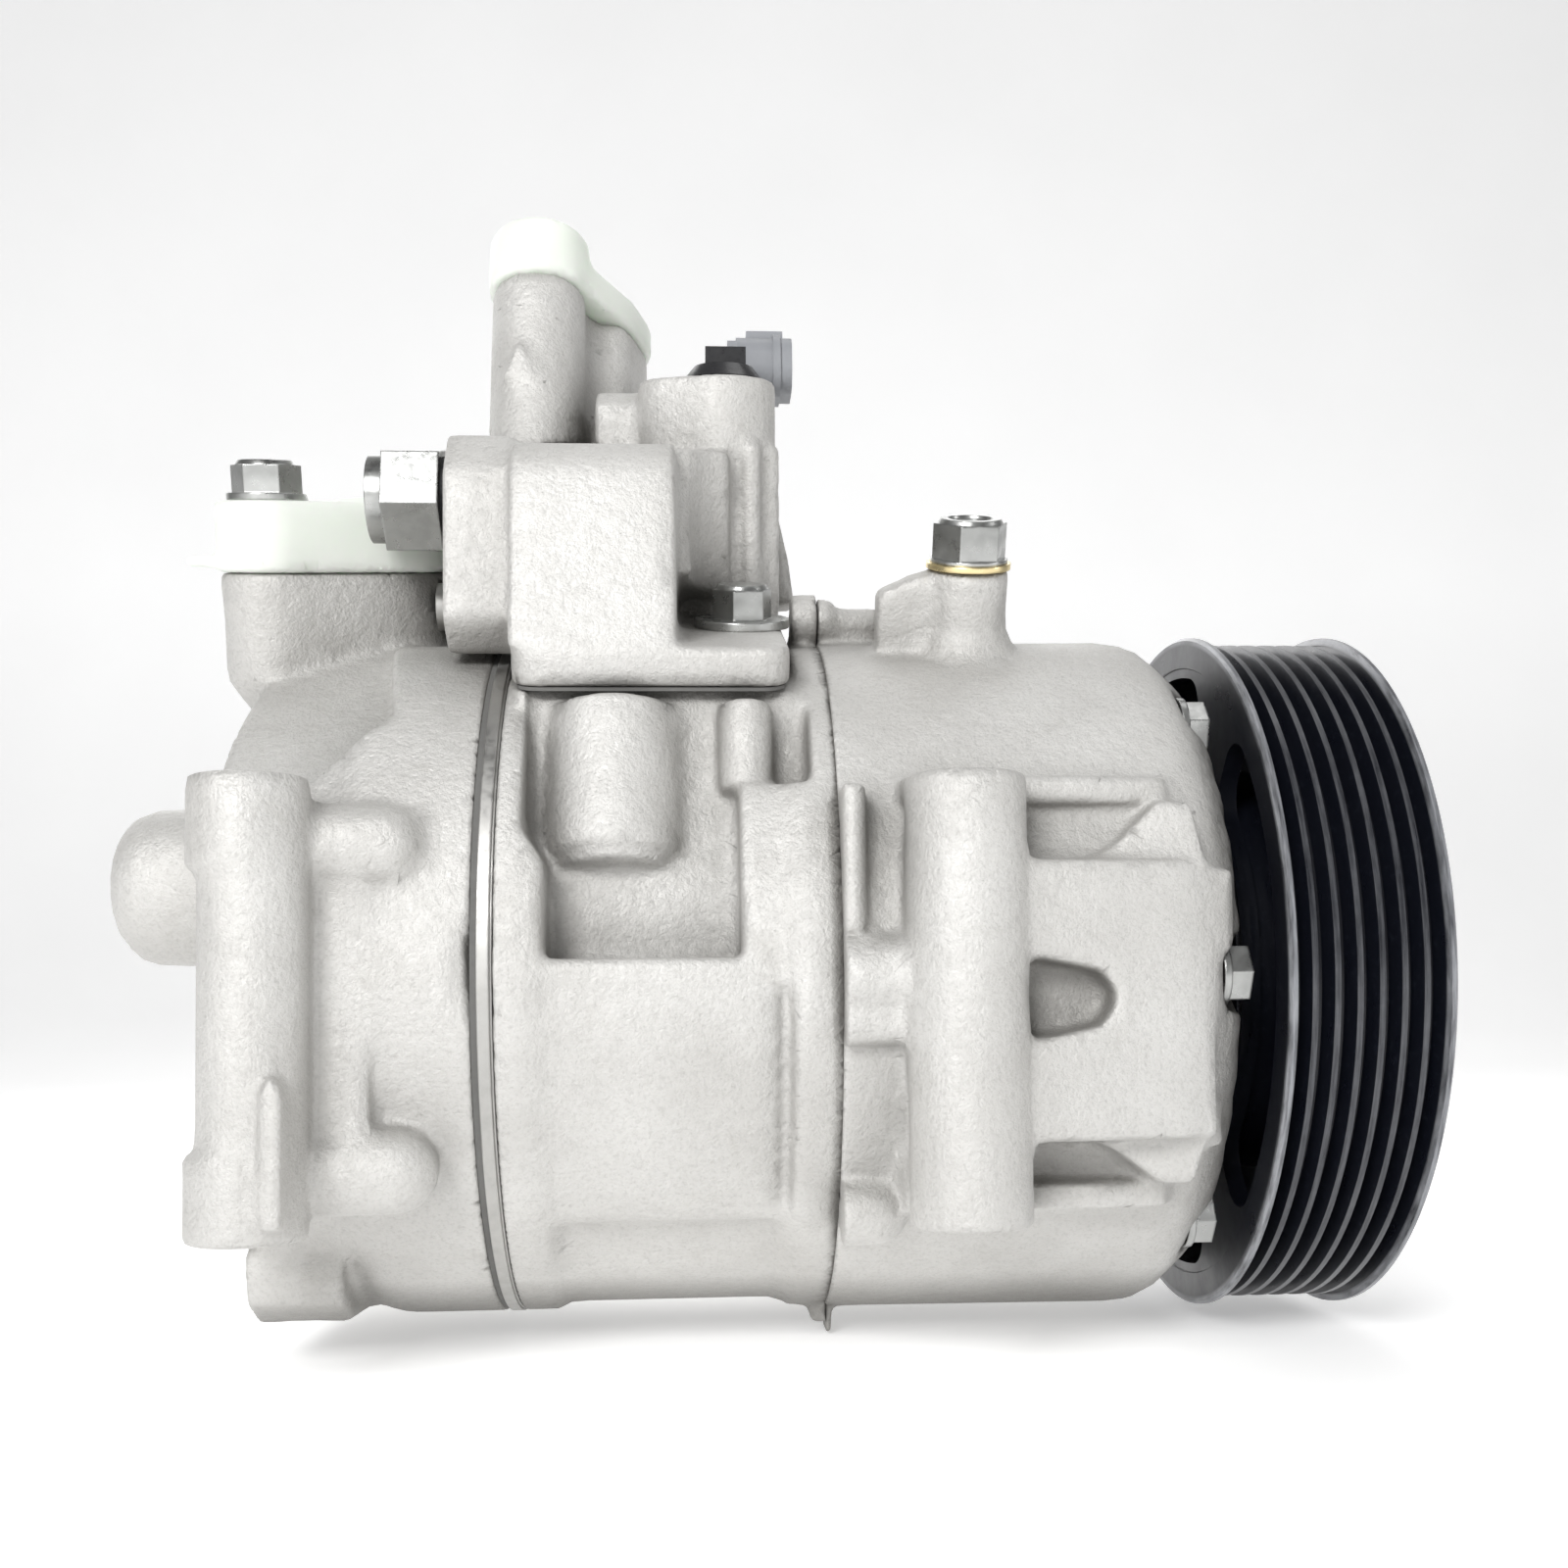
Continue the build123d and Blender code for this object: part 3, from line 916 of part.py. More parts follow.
# ---------------------------------------------------------------- pulley and its bearing
RIM_TIP = PULLEY_R - 1.3
with BuildPart() as pulley:
    half_belt = GROOVES * GROOVE_PITCH / 2
    outline = [(-PULLEY_HALF, 57.0), (-PULLEY_HALF, PULLEY_R - 0.5), (-PULLEY_HALF + 0.4, PULLEY_R),
               (-half_belt + 0.3, PULLEY_R), (-half_belt + 0.65, RIM_TIP)]
    for k in range(GROOVES):
        middle = (k - (GROOVES - 1) / 2) * GROOVE_PITCH
        outline += [
            (middle - 1.3, RIM_TIP), (middle - 0.35, RIM_TIP - GROOVE_DEPTH),
            (middle + 0.35, RIM_TIP - GROOVE_DEPTH), (middle + 1.3, RIM_TIP),
        ]
    outline += [(half_belt - 0.65, RIM_TIP), (half_belt - 0.3, PULLEY_R),
                (PULLEY_HALF - 0.4, PULLEY_R), (PULLEY_HALF, PULLEY_R - 0.5), (PULLEY_HALF, 55.5)]
    turned(outline + [(10.4, 55.0), (10.4, 36.0), (10.0, 27.5), (-PULLEY_HALF, 27.5),
                      (-PULLEY_HALF, 37.6), (7.0, 37.6), (7.0, 54.5), (-PULLEY_HALF + 3.4, 56.2),
                      (-PULLEY_HALF + 0.8, 56.6)])
    ring(-PULLEY_HALF + 0.3, -PULLEY_HALF + 3.4, 37.0, 56.8)
    # Three long windows between broad spokes in the rear web.
    for k in range(3):
        start = 177 + 120 * k + 10.5
        with BuildSketch(Plane.YZ.offset(-PULLEY_HALF - 1)) as window:
            Circle(55.2)
            Circle(39.6, mode=Mode.SUBTRACT)
            with BuildLine():
                Polyline((0, 0), polar(90, start), polar(120, start + 49.5), polar(90, start + 99),
                         close=True)
            make_face(mode=Mode.INTERSECT)
            fillet(window.vertices(), 6.0)
        extrude(window.sketch, amount=5.0, mode=Mode.SUBTRACT)
finish(pulley, "pulley")

with BuildPart() as bearing_inner:
    ring(-10.0, 9.95, 17.5, 20.6)
    for x in (-4.6, 4.6):
        with Locations(Location((x, 0, 0), (0, 90, 0))):
            Torus(22.5, 3.35, mode=Mode.SUBTRACT)
finish(bearing_inner, "bearing_inner")

with BuildPart() as bearing_outer:
    ring(-10.0, 9.95, 24.4, 27.45)
    for x in (-4.6, 4.6):
        with Locations(Location((x, 0, 0), (0, 90, 0))):
            Torus(22.5, 3.05, mode=Mode.SUBTRACT)
finish(bearing_outer, "bearing_outer")

with BuildPart() as bearing_balls:
    for x in (-4.6, 4.6):
        for k in range(18):
            y, z = polar(22.5, k * 20)
            dome_x(x, 3.0, y, z)
finish(bearing_balls, "bearing_balls")

with BuildPart() as bearing_seals:
    ring(-9.7, -8.9, 20.9, 24.4)
    ring(8.9, 9.7, 20.9, 24.4)
finish(bearing_seals, "bearing_seals")

with BuildPart() as bearing_clip:
    ring(10.05, 11.15, 16.7, 19.6)
    block(9.0, 12.0, -2.5, 2.5, 15.0, 21.0, Mode.SUBTRACT)
finish(bearing_clip, "bearing_clip")

# ---------------------------------------------------------------- damper, limiter and hub
with BuildPart() as damper_ring:
    ring(10.4, 13.6, 38.0, 50.0)
    for k in range(12):
        y, z = polar(44.0, 15 + 30 * k)
        bar_x(10.0, 14.0, 2.0, y, z, Mode.SUBTRACT)
finish(damper_ring, "damper_ring")

with BuildPart() as limiter_plate:
    ring(13.6, 15.6, 21.5, 51.5)
    for k in range(3):
        y, z = polar(35.0, 90 + 120 * k)
        with Locations(Location((13.0, y, z), (-(90 + 120 * k), 0, 0))):
            Box(4.0, 10.0, 26.0, align=(Align.MIN, Align.CENTER, Align.CENTER), mode=Mode.SUBTRACT)
    for k in range(6):
        y, z = polar(25.5, 30 + 60 * k)
        bar_x(13.0, 16.0, 1.6, y, z, Mode.SUBTRACT)
finish(limiter_plate, "limiter_plate")

with BuildPart() as hub:
    turned([
        (9.4, 6.95), (9.4, 11.2), (15.6, 11.2), (15.6, 29.0), (18.0, 29.0), (18.6, 28.4),
        (18.6, 12.5), (19.8, 11.4), (19.8, 6.95),
    ])
    for k in range(6):
        y, z = polar(25.5, 30 + 60 * k)
        bar_x(13.0, 20.0, 1.6, y, z, Mode.SUBTRACT)
finish(hub, "hub")

with BuildPart() as hub_rivets:
    for k in range(6):
        y, z = polar(25.5, 30 + 60 * k)
        bar_x(13.0, 19.6, 1.55, y, z)
        bar_x(18.6, 19.8, 2.8, y, z)
        bar_x(12.6, 13.6, 2.6, y, z)
finish(hub_rivets, "hub_rivets")

with BuildPart() as hub_nut:
    with BuildSketch(Plane.YZ.offset(19.8)) as nut:
        RegularPolygon(8.5, 6, major_radius=False)
        Circle(5.05, mode=Mode.SUBTRACT)
    extrude(nut.sketch, amount=6.0)
finish(hub_nut, "hub_nut")
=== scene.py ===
"""Looks of a car air-conditioning compressor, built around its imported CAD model."""

import json
import math

import bmesh
import bpy
import numpy as np
import openvdb
from mathutils import Matrix, Vector


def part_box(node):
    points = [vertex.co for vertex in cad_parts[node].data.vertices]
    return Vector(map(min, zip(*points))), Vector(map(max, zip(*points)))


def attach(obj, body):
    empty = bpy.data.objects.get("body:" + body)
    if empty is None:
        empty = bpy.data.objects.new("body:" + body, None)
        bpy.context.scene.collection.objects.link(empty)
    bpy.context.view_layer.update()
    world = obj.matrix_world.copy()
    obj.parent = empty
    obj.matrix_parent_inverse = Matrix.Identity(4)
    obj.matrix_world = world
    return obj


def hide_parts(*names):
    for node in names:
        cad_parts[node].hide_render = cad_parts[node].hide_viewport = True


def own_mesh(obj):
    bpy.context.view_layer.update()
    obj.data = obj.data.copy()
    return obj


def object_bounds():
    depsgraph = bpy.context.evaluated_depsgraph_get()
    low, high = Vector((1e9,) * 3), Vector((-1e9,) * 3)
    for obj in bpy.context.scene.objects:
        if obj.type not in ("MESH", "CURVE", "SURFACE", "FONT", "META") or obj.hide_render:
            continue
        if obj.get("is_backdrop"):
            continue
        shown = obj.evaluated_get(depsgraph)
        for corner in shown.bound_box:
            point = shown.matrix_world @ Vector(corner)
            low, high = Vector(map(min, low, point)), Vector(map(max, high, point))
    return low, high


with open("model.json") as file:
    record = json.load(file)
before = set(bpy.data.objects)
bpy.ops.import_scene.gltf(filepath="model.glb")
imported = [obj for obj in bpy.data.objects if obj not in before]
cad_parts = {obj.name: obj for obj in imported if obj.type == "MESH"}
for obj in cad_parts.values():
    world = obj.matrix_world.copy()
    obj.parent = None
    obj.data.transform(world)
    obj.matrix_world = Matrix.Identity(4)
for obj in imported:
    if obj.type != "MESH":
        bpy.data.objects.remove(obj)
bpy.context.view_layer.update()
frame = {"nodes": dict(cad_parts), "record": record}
NODES = frame["nodes"]
BEHAVIOUR = frame["record"]["behaviour"]
BODY_OF = {node: body for body, nodes in BEHAVIOUR["bodies"].items() for node in nodes}
SLOT_OF = {part["node"]: part["material_slot"] for part in frame["record"]["subparts"]}


# ------------------------------------------------------------------ material helpers
class Look:
    """A node material with short calls for the usual nodes."""

    def __init__(self, name):
        self.material = bpy.data.materials.new(name)
        self.material.use_nodes = True
        self.tree = self.material.node_tree
        self.shader = self.tree.nodes["Principled BSDF"]
        self.place = self.node("ShaderNodeTexCoord").outputs["Object"]

    def node(self, kind, **settings):
        made = self.tree.nodes.new(kind)
        for key, value in settings.items():
            setattr(made, key, value)
        return made

    def link(self, output, socket):
        self.tree.links.new(output, socket)

    def fill(self, socket, value):
        """Sets a socket to a number or colour, or links an output to it."""
        if isinstance(value, bpy.types.NodeSocket):
            self.link(value, socket)
        else:
            socket.default_value = value

    def put(self, socket, value):
        """Fills a socket of the shader."""
        self.fill(self.shader.inputs[socket], value)

    def stretch(self, scale):
        """The object's coordinates, scaled along each axis."""
        mapping = self.node("ShaderNodeMapping")
        mapping.inputs["Scale"].default_value = scale
        self.link(self.place, mapping.inputs["Vector"])
        return mapping.outputs["Vector"]

    def noise(self, scale, detail=4.0, rough=0.55, vector=None, distortion=0.0):
        made = self.node("ShaderNodeTexNoise")
        made.inputs["Scale"].default_value = scale
        made.inputs["Detail"].default_value = detail
        made.inputs["Roughness"].default_value = rough
        made.inputs["Distortion"].default_value = distortion
        self.link(vector or self.place, made.inputs["Vector"])
        return made.outputs["Fac"]

    def cells(self, scale):
        """Distance to the middle of the nearest of many small cells."""
        made = self.node("ShaderNodeTexVoronoi", feature="F1")
        made.inputs["Scale"].default_value = scale
        self.link(self.place, made.inputs["Vector"])
        return made.outputs["Distance"]

    def ramp(self, factor, stops):
        """A colour ramp, with stops of (position, colour) or (position, grey)."""
        made = self.node("ShaderNodeValToRGB")
        band = made.color_ramp
        while len(band.elements) < len(stops):
            band.elements.new(0.5)
        for element, (at, colour) in zip(band.elements, stops):
            element.position = at
            element.color = (*colour, 1.0) if hasattr(colour, "__len__") else (colour,) * 3 + (1.0,)
        self.link(factor, made.inputs["Fac"])
        return made.outputs["Color"]

    def math(self, operation, a, b=0.0):
        made = self.node("ShaderNodeMath", operation=operation)
        for socket, value in zip(made.inputs, (a, b)):
            self.fill(socket, value)
        return made.outputs["Value"]

    def mix(self, factor, a, b, blend="MIX"):
        """Mixes two colours, which are each an output or three numbers."""
        made = self.node("ShaderNodeMix", data_type="RGBA", blend_type=blend)
        share, under, over = made.inputs[0], made.inputs[6], made.inputs[7]
        self.fill(share, factor)
        for socket, colour in ((under, a), (over, b)):
            self.fill(socket, (*colour, 1.0) if isinstance(colour, tuple) else colour)
        return made.outputs[2]

    def bump(self, height, strength, distance, under=None):
        """Normals with a relief of this height in metres, laid over other normals."""
        made = self.node("ShaderNodeBump")
        made.inputs["Strength"].default_value = strength
        made.inputs["Distance"].default_value = distance
        self.link(height, made.inputs["Height"])
        if under is not None:
            self.link(under, made.inputs["Normal"])
        return made.outputs["Normal"]

    def edges(self):
        """1 on convex edges, 0 in hollows."""
        return self.node("ShaderNodeNewGeometry").outputs["Pointiness"]

    def open_sky(self, reach):
        """1 in the open, less in hollows up to a reach in metres."""
        made = self.node("ShaderNodeAmbientOcclusion", samples=6)
        made.inputs["Distance"].default_value = reach
        return made.outputs["AO"]

    def rounded(self, radius):
        """Normals that run smoothly over edges within a radius in metres."""
        made = self.node("ShaderNodeBevel", samples=6)
        made.inputs["Radius"].default_value = radius
        return made.outputs["Normal"]


def cast_aluminium(name):
    """Sand-cast aluminium: grainy, stained in places, with painted highlights on its convex edges
    and painted shade in its hollows.
    """
    look = Look(name)
    grain = look.noise(1500.0, 3.0, 0.7)
    sand = look.noise(520.0, 4.0, 0.6)
    cloud = look.noise(38.0, 4.0, 0.6)
    stain = look.noise(95.0, 5.0, 0.65, distortion=0.6)
    pits = look.cells(900.0)
    body = look.ramp(cloud, [(0.30, (0.56, 0.550, 0.530)), (0.70, (0.67, 0.662, 0.643))])
    body = look.mix(look.ramp(stain, [(0.60, 0.0), (0.78, 0.5)]), body, (0.50, 0.488, 0.462))
    body = look.mix(look.ramp(grain, [(0.34, 0.26), (0.50, 0.0)]), body, (0.36, 0.352, 0.335))
    # Convex edges painted lighter: a painted highlight.
    body = look.mix(look.ramp(look.edges(), [(0.52, 0.0), (0.60, 0.45)]), body,
                    (0.84, 0.832, 0.815))
    # Hollows up to 14 mm deep painted darker: painted shade.
    body = look.mix(look.ramp(look.open_sky(0.014), [(0.30, 0.80), (0.95, 0.0)]), body,
                    (0.17, 0.163, 0.150))
    look.put("Base Color", body)
    look.put("Metallic", 0.42)
    look.put("Roughness", look.ramp(sand, [(0.3, 0.50), (0.7, 0.68)]))
    fine = look.bump(grain, 0.65, 0.00034)
    medium = look.bump(sand, 0.55, 0.00060, fine)
    pitted = look.bump(look.ramp(pits, [(0.0, 0.0), (0.35, 1.0)]), 0.20, 0.00012, medium)
    look.put("Normal", look.bump(cloud, 0.22, 0.0016, pitted))
    return look.material


def bright_steel(name, colour, rough, axis=(1.0, 1.0, 1.0)):
    """Plated or ground steel with fine tool lines, a little dirt and painted highlights on its
    convex edges.
    """
    look = Look(name)
    lines = look.noise(420.0, 3.0, 0.6, look.stretch(axis))
    dirt = look.noise(210.0, 5.0, 0.6, distortion=0.4)
    dirty = tuple(0.62 * c for c in colour)
    # Lighter colour for convex edges: a painted highlight.
    edge_highlight = tuple(min(1.0, 1.3 * c + 0.05) for c in colour)
    body = look.mix(look.ramp(dirt, [(0.45, 0.0), (0.75, 0.55)]), colour, dirty)
    # Convex edges take the painted highlight colour.
    body = look.mix(look.ramp(look.edges(), [(0.51, 0.0), (0.58, 0.6)]), body, edge_highlight)
    look.put("Base Color", body)
    look.put("Metallic", 1.0)
    look.put("Roughness", look.ramp(lines, [(0.3, rough * 0.75), (0.7, rough * 1.45)]))
    tip_wear_and_highlight = look.bump(dirt, 0.16, 0.0003, look.rounded(0.00045))
    look.put("Normal", look.bump(lines, 0.14, 0.00012, tip_wear_and_highlight))
    return look.material


def turned_metal(name, colour, rough):
    """Turned metal, with tool rings around the shaft axis."""
    return bright_steel(name, colour, rough, axis=(9.0, 0.6, 0.6))


def moulded(name, colour, rough, coat=0.0, subsurface=0.0, grain=900.0, dark=0.8):
    """Plastic, rubber or sheet, in a colour that clouds over to a darker one."""
    look = Look(name)
    fine = look.noise(grain, 3.0, 0.6)
    cloud = look.noise(60.0, 4.0, 0.55)
    look.put("Base Color", look.mix(look.ramp(cloud, [(0.3, 0.0), (0.7, 1.0)]), colour,
                                    tuple(dark * c for c in colour)))
    look.put("Roughness", look.ramp(fine, [(0.3, rough * 0.85), (0.7, min(1.0, rough * 1.2))]))
    if coat:
        look.put("Coat Weight", coat)
        look.put("Coat Roughness", 0.25)
    if subsurface:
        look.put("Subsurface Weight", subsurface)
        look.put("Subsurface Radius", (0.006, 0.008, 0.006))
        look.put("Subsurface Scale", 1.0)
    wavy = look.bump(cloud, 0.12, 0.0008)
    look.put("Normal", look.bump(fine, 0.35, 0.00006, wavy))
    return look.material


def belt_paint(name):
    """Dark paint on the pulley, painted lighter grey along the rib tips: worn metal and a painted
    highlight.
    """
    # Radius where the lighter rib tips begin, and the depth over which they reach full strength:
    # worn metal and a painted highlight.
    tip_wear_and_highlight_start, tip_wear_and_highlight_depth = 0.0600, 0.002
    look = Look(name)
    split = look.node("ShaderNodeSeparateXYZ")
    look.link(look.place, split.inputs["Vector"])
    square = look.math("ADD", look.math("POWER", split.outputs["Y"], 2.0),
                       look.math("POWER", split.outputs["Z"], 2.0))
    radius = look.math("SQRT", square)
    dust = look.noise(700.0, 4.0, 0.7)
    streak = look.noise(240.0, 4.0, 0.6, look.stretch((8.0, 0.5, 0.5)))
    body = look.mix(look.ramp(dust, [(0.56, 0.0), (0.74, 0.35)]), (0.006, 0.007, 0.012),
                    (0.035, 0.040, 0.056))
    # Rib tips painted lighter grey by radius, streaked: worn metal and a painted highlight.
    height = look.math("MULTIPLY", look.math("SUBTRACT", radius, tip_wear_and_highlight_start), 1.0 / tip_wear_and_highlight_depth)
    tip_wear_and_highlight = look.ramp(height, [(0.52, 0.0), (0.82, 0.75)])
    tip_wear_and_highlight = look.mix(1.0, tip_wear_and_highlight, look.ramp(streak, [(0.35, 0.25), (0.65, 1.0)]), "MULTIPLY")
    look.put("Base Color", look.mix(tip_wear_and_highlight, body, (0.40, 0.41, 0.435)))
    look.put("Metallic", 0.25)
    look.put("Roughness", look.ramp(streak, [(0.3, 0.26), (0.7, 0.42)]))
    look.put("Coat Weight", 0.35)
    look.put("Coat Roughness", 0.22)
    fine = look.bump(dust, 0.10, 0.00010)
    look.put("Normal", look.bump(streak, 0.10, 0.00010, fine))
    return look.material


BALL = turned_metal("ball_steel", (0.76, 0.76, 0.78), 0.10)
SLOT_LOOK = {
    "cast_aluminium": cast_aluminium("cast_aluminium"),
    "zinc_steel": bright_steel("zinc_plate", (0.40, 0.405, 0.395), 0.30),
    "ground_steel": turned_metal("ground_steel", (0.60, 0.60, 0.61), 0.28),
    "ball_steel": BALL,
    "pin_tin": BALL,
    "spring_steel": bright_steel("spring_steel", (0.42, 0.42, 0.45), 0.35),
    "plate_steel": bright_steel("plate_steel", (0.40, 0.395, 0.38), 0.42),
    "piston_aluminium": turned_metal("machined_aluminium", (0.78, 0.78, 0.77), 0.32),
    "washer_brass": bright_steel("washer_brass", (0.78, 0.62, 0.34), 0.30),
    "hub_steel": bright_steel("dark_hub", (0.055, 0.057, 0.066), 0.42),
    "pulley_steel": belt_paint("pulley_paint"),
    "seal_rubber": moulded("seal_rubber", (0.022, 0.022, 0.024), 0.7, grain=1400.0),
    "gasket_sheet": moulded("gasket_sheet", (0.15, 0.148, 0.142), 0.75),
    "ring_ptfe": moulded("slide_ring", (0.10, 0.085, 0.07), 0.5),
    "cap_plastic": moulded("cap_plastic", (0.82, 0.86, 0.79), 0.42, subsurface=0.35, grain=500.0,
                           dark=0.93),
    "coil_plastic": moulded("coil_plastic", (0.018, 0.018, 0.020), 0.30, coat=0.3),
    "socket_plastic": moulded("socket_plastic", (0.30, 0.31, 0.33), 0.42),
}
for node, obj in NODES.items():
    obj.data.materials.clear()
    obj.data.materials.append(SLOT_LOOK[SLOT_OF[node]])


# ------------------------------------------------------------------ pieces in place of CAD nodes
def take_place(piece, node):
    """Puts a piece in the scene in place of a CAD node, on the same body."""
    bpy.context.scene.collection.objects.link(piece)
    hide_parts(node)
    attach(piece, BODY_OF[node])


# ------------------------------------------------------------------ soft casting shapes
BLUR_KERNEL = (0.25, 0.5, 0.25)
BLURS_PER_SQUARE = 2.0          # passes of that kernel for a spread of one voxel
BAND = 6                        # voxels each side of the surface that hold its distance
FLATTEN = 0.2                   # how far flat stretches merge into larger faces
FILL_HOLD = 0.12                # share of the corner length that the wide blur stays out
SHARP_HALF, SHARP_FADE = 0.0003, 0.0012


def blur(field, passes):
    """Smooths a dense field along each axis in turn."""
    half = len(BLUR_KERNEL) // 2
    for _ in range(passes):
        for axis in range(3):
            total = np.zeros_like(field)
            for shift, weight in zip(range(-half, half + 1), BLUR_KERNEL):
                total += weight * np.roll(field, shift, axis)
            field = total
    return field


def surface(name, field, low, voxel):
    """Mesh of a field's zero level."""
    grid = openvdb.FloatGrid(background=3.0 * voxel)
    grid.copyFromArray(field.astype(np.float32))
    grid.transform = openvdb.createLinearTransform(voxelSize=voxel)
    points, triangles, quads = grid.convertToPolygons(isovalue=0.0, adaptivity=FLATTEN)
    points = np.asarray(points, float) + np.asarray(low) * voxel
    faces = [tuple(int(i) for i in face[::-1]) for face in triangles]
    faces += [tuple(int(i) for i in face[::-1]) for face in quads]
    mesh = bpy.data.meshes.new(name)
    mesh.from_pydata([tuple(p) for p in points], [], faces)
    mesh.validate()
    mesh.shade_smooth()
    return mesh


def level_set(node, voxel):
    """Signed distance to a CAD node on a dense grid, with the grid's lowest index."""
    mesh = NODES[node].data
    mesh.calc_loop_triangles()
    points = np.array([v.co for v in mesh.vertices], np.float32)
    triangles = np.array([t.vertices for t in mesh.loop_triangles], np.int32)
    grid = openvdb.FloatGrid.createLevelSetFromPolygons(
        points, triangles=triangles, halfWidth=float(BAND),
        transform=openvdb.createLinearTransform(voxelSize=voxel))
    (x0, y0, z0), (x1, y1, z1) = grid.evalActiveVoxelBoundingBox()
    low = (x0 - 1, y0 - 1, z0 - 1)
    field = np.zeros((x1 - x0 + 3, y1 - y0 + 3, z1 - z0 + 3), np.float32)
    grid.copyToArray(field, ijk=low)
    return field, low


def soften(node, name, voxel, edge, corner, machined=()):
    """Replaces a CAD node by a copy with rounded edges and wider fillets in its inner corners.

    edge and corner are blur lengths in metres. The wide blur only adds metal, so thin walls stay.
    machined holds the X of faces whose edges stay sharp.
    """
    exact, low = level_set(node, voxel)
    rounds = max(1, round(BLURS_PER_SQUARE * (edge / voxel) ** 2))
    field = blur(exact, rounds)
    more = max(1, round(BLURS_PER_SQUARE * (corner ** 2 - edge ** 2) / voxel ** 2))
    field = np.minimum(field, blur(field, more) + FILL_HOLD * corner)
    along = (np.arange(field.shape[0]) + low[0]) * voxel
    for face in machined:
        far = np.clip((np.abs(along - face) - SHARP_HALF) / SHARP_FADE, 0.0, 1.0)
        soft = (far * far * (3.0 - 2.0 * far)).astype(np.float32)[:, None, None]
        field = soft * field + (1.0 - soft) * exact
    mesh = surface(name, field, low, voxel)
    mesh.materials.append(SLOT_LOOK[SLOT_OF[node]])
    take_place(bpy.data.objects.new(name, mesh), node)


CAST_VOXEL = 0.0005
CAST_EDGE, CAST_CORNER = 0.0006, 0.0011
CAP_VOXEL = 0.0004
CAP_EDGE, CAP_CORNER = 0.0007, 0.0010
FRONT_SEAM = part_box("front_housing")[0].x
BLOCK_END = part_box("cylinder_block")[0].x
REAR_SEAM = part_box("rear_housing")[1].x
CASTINGS = {
    "front_housing": ("front_casting", (FRONT_SEAM,)),
    "cylinder_block": ("block_casting", (FRONT_SEAM, BLOCK_END)),
    "rear_housing": ("rear_casting", (REAR_SEAM,)),
    "muffler_housing": ("muffler_casting", ()),
}
for node, (name, machined) in CASTINGS.items():
    soften(node, name, CAST_VOXEL, CAST_EDGE, CAST_CORNER, machined)
for node in ("suction_cap", "discharge_cap"):
    soften(node, node + "_moulding", CAP_VOXEL, CAP_EDGE, CAP_CORNER)


# ------------------------------------------------------------------ spring
def sprung(node, name):
    """Replaces a CAD spring by a copy of its mesh, on the same body."""
    piece = bpy.data.objects.new(name, NODES[node].data.copy())
    piece.matrix_world = NODES[node].matrix_world.copy()
    take_place(piece, node)
    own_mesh(piece)


sprung("relief_spring", "relief_coil")


# ------------------------------------------------------------------ floor
FLOOR_GAP = 0.0006              # below the object's lowest point
FLOOR_LEFT, FLOOR_RIGHT, FLOOR_FRONT = -2.4, 2.2, -1.6
CURVE_START, CURVE_RADIUS = 0.9, 0.5
WALL_TOP = 1.8
FLOOR_GLOW = 0.38


def backdrop():
    """Pale floor that curves up behind the object."""
    mesh = bpy.data.meshes.new("backdrop")
    made = bmesh.new()
    floor_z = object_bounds()[0][2] - FLOOR_GAP
    line = [(FLOOR_FRONT, 0.0), (CURVE_START, 0.0)]
    for degrees in range(10, 91, 10):
        turn = math.radians(degrees)
        line.append((CURVE_START + CURVE_RADIUS * math.sin(turn),
                     CURVE_RADIUS - CURVE_RADIUS * math.cos(turn)))
    line.append((CURVE_START + CURVE_RADIUS, WALL_TOP))
    rows = [[made.verts.new((x, y, floor_z + z)) for x in (FLOOR_LEFT, FLOOR_RIGHT)]
            for y, z in line]
    for a, b in zip(rows, rows[1:]):
        made.faces.new((a[0], a[1], b[1], b[0]))
    made.to_mesh(mesh)
    made.free()
    mesh.shade_smooth()
    look = Look("floor_paint")
    tone = look.noise(6.0, 3.0, 0.5)
    look.put("Base Color", look.ramp(tone, [(0.3, (0.90, 0.90, 0.90)), (0.7, (0.94, 0.94, 0.94))]))
    look.put("Roughness", 0.85)
    look.put("Emission Color", (1.0, 1.0, 1.0, 1.0))
    look.put("Emission Strength", FLOOR_GLOW)
    mesh.materials.append(look.material)
    floor = bpy.data.objects.new("backdrop", mesh)
    bpy.context.scene.collection.objects.link(floor)
    floor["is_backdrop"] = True


backdrop()


# ------------------------------------------------------------------ light
MIDDLE = Vector((-0.08, 0.0, 0.03))
WORLD_STRENGTH = 0.20


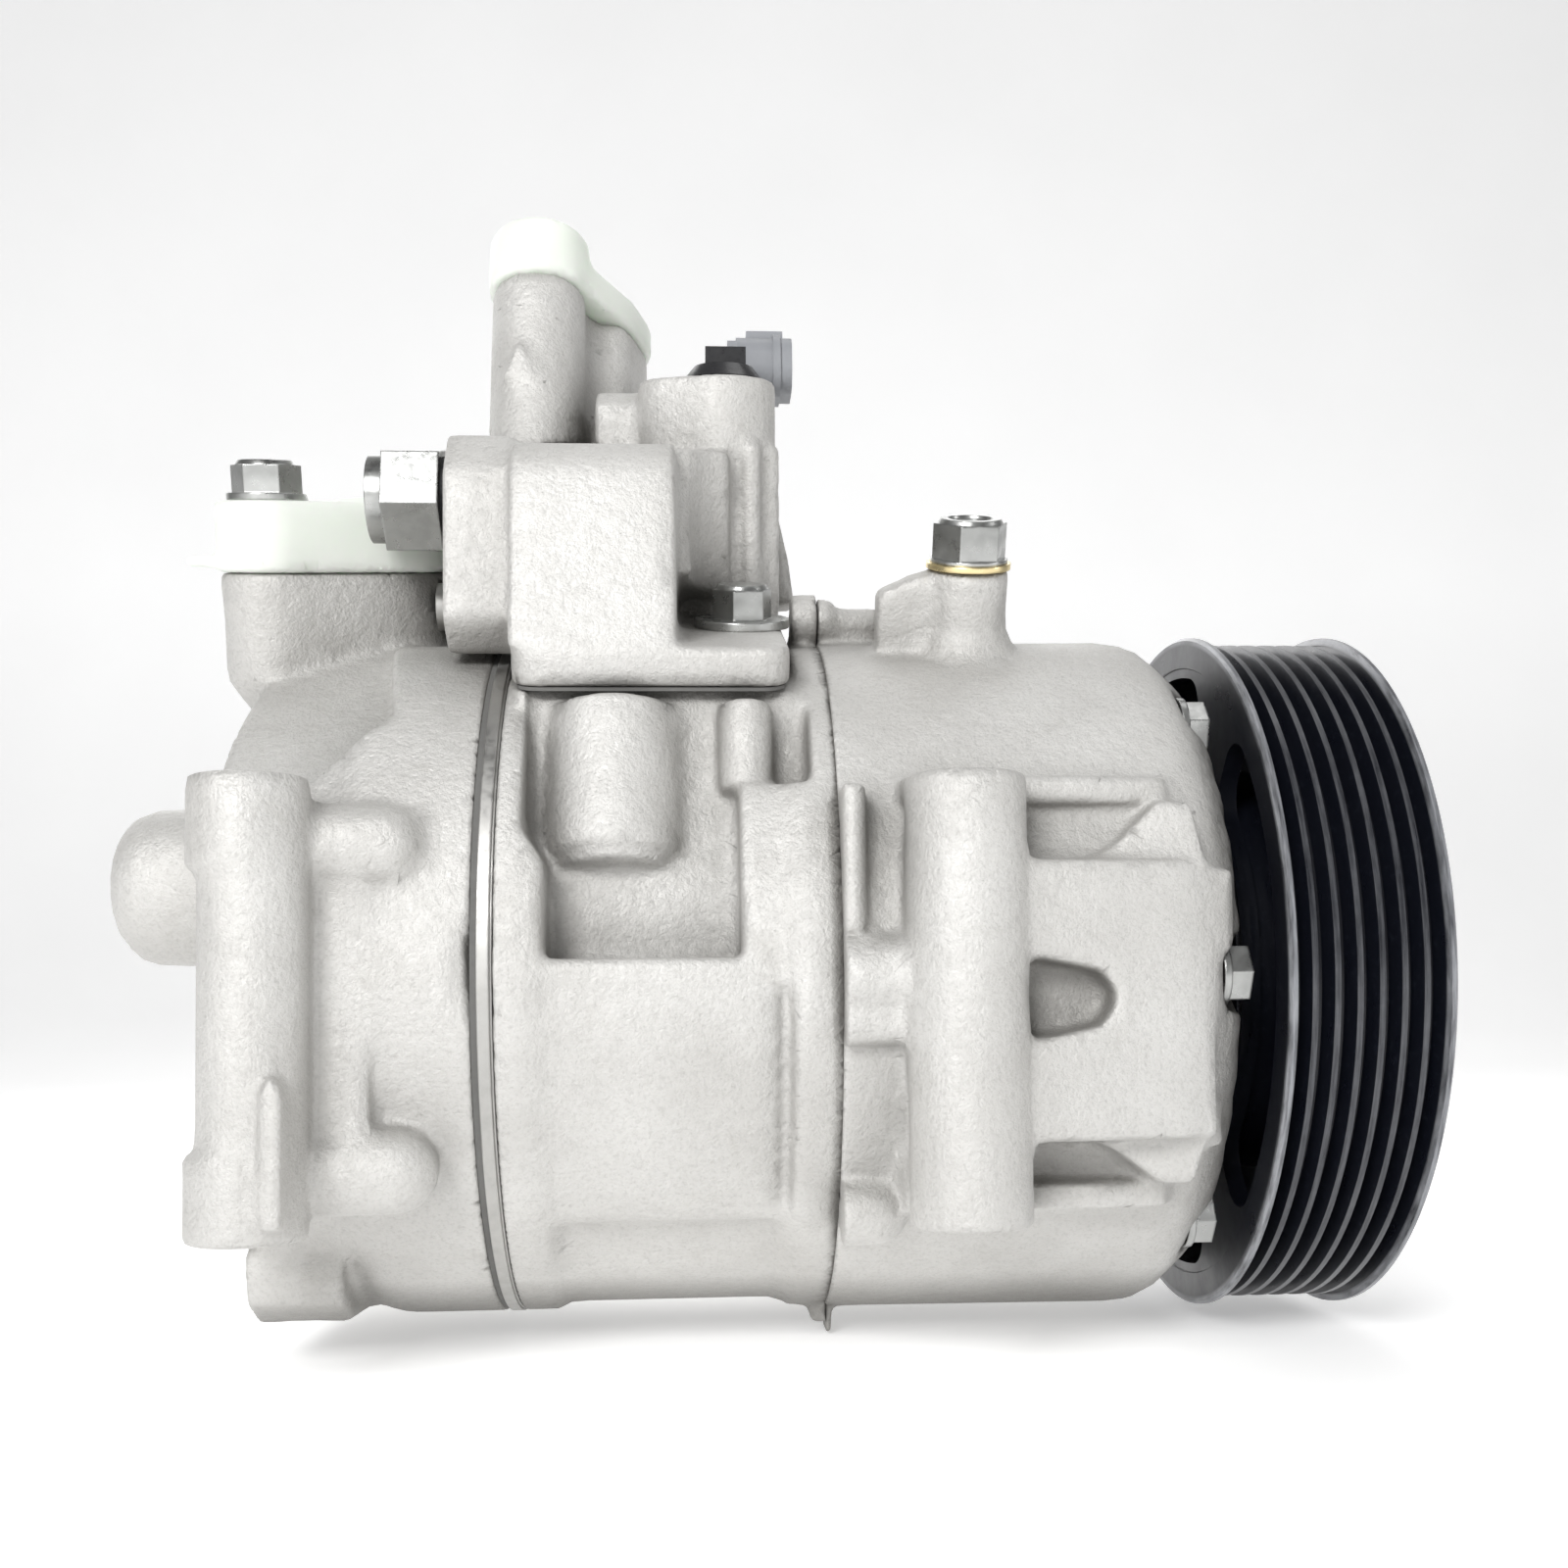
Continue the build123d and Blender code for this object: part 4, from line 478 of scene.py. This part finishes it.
def area_light(name, at, size, watts):
    """Rectangular lamp that faces the object's middle."""
    lamp = bpy.data.lights.new(name, "AREA")
    lamp.shape = "RECTANGLE"
    lamp.size, lamp.size_y = size
    lamp.energy = watts
    made = bpy.data.objects.new(name, lamp)
    made.location = at
    made.rotation_euler = (MIDDLE - Vector(at)).to_track_quat("-Z", "Y").to_euler()
    bpy.context.scene.collection.objects.link(made)


area_light("key", (-0.46, -0.90, 0.46), (0.40, 0.34), 9.0)
area_light("top", (0.05, 0.10, 0.95), (0.6, 0.4), 1.3)
area_light("side", (0.85, -0.35, 0.35), (0.22, 0.6), 2.0)
area_light("back", (-0.3, 0.75, 0.6), (1.2, 0.6), 3.0)

world = bpy.data.worlds.new("studio")
world.use_nodes = True
background = world.node_tree.nodes["Background"]
background.inputs["Color"].default_value = (1.0, 1.0, 1.0, 1.0)
background.inputs["Strength"].default_value = WORLD_STRENGTH
bpy.context.scene.world = world
bpy.context.scene.view_settings.view_transform = "Standard"


# ------------------------------------------------------------------ camera
CAMERA_AT = Vector((-0.10471, -0.30611, -0.00637))
YAW, PITCH, ROLL = 0.0674, 0.0481, -0.0122      # radians, from a level view along +Y
FOCAL_LENGTH, SENSOR_WIDTH = 37.31, 36.0        # millimetres
SHIFT_X, SHIFT_Y = -0.0120, 0.0924

forward = Vector((math.sin(YAW) * math.cos(PITCH), math.cos(YAW) * math.cos(PITCH),
                  math.sin(PITCH)))
level = Vector((math.cos(YAW), -math.sin(YAW), 0.0))
upright = level.cross(forward)
right = level * math.cos(ROLL) + upright * math.sin(ROLL)
up = upright * math.cos(ROLL) - level * math.sin(ROLL)
lens = bpy.data.cameras.new("camera")
lens.sensor_width = SENSOR_WIDTH
lens.lens = FOCAL_LENGTH
lens.shift_x = SHIFT_X
lens.shift_y = SHIFT_Y
lens.clip_start = 0.01
camera = bpy.data.objects.new("camera", lens)
turned = Matrix((right, up, -forward)).transposed().to_4x4()
camera.matrix_world = Matrix.Translation(CAMERA_AT) @ turned
bpy.context.scene.collection.objects.link(camera)
bpy.context.scene.camera = camera
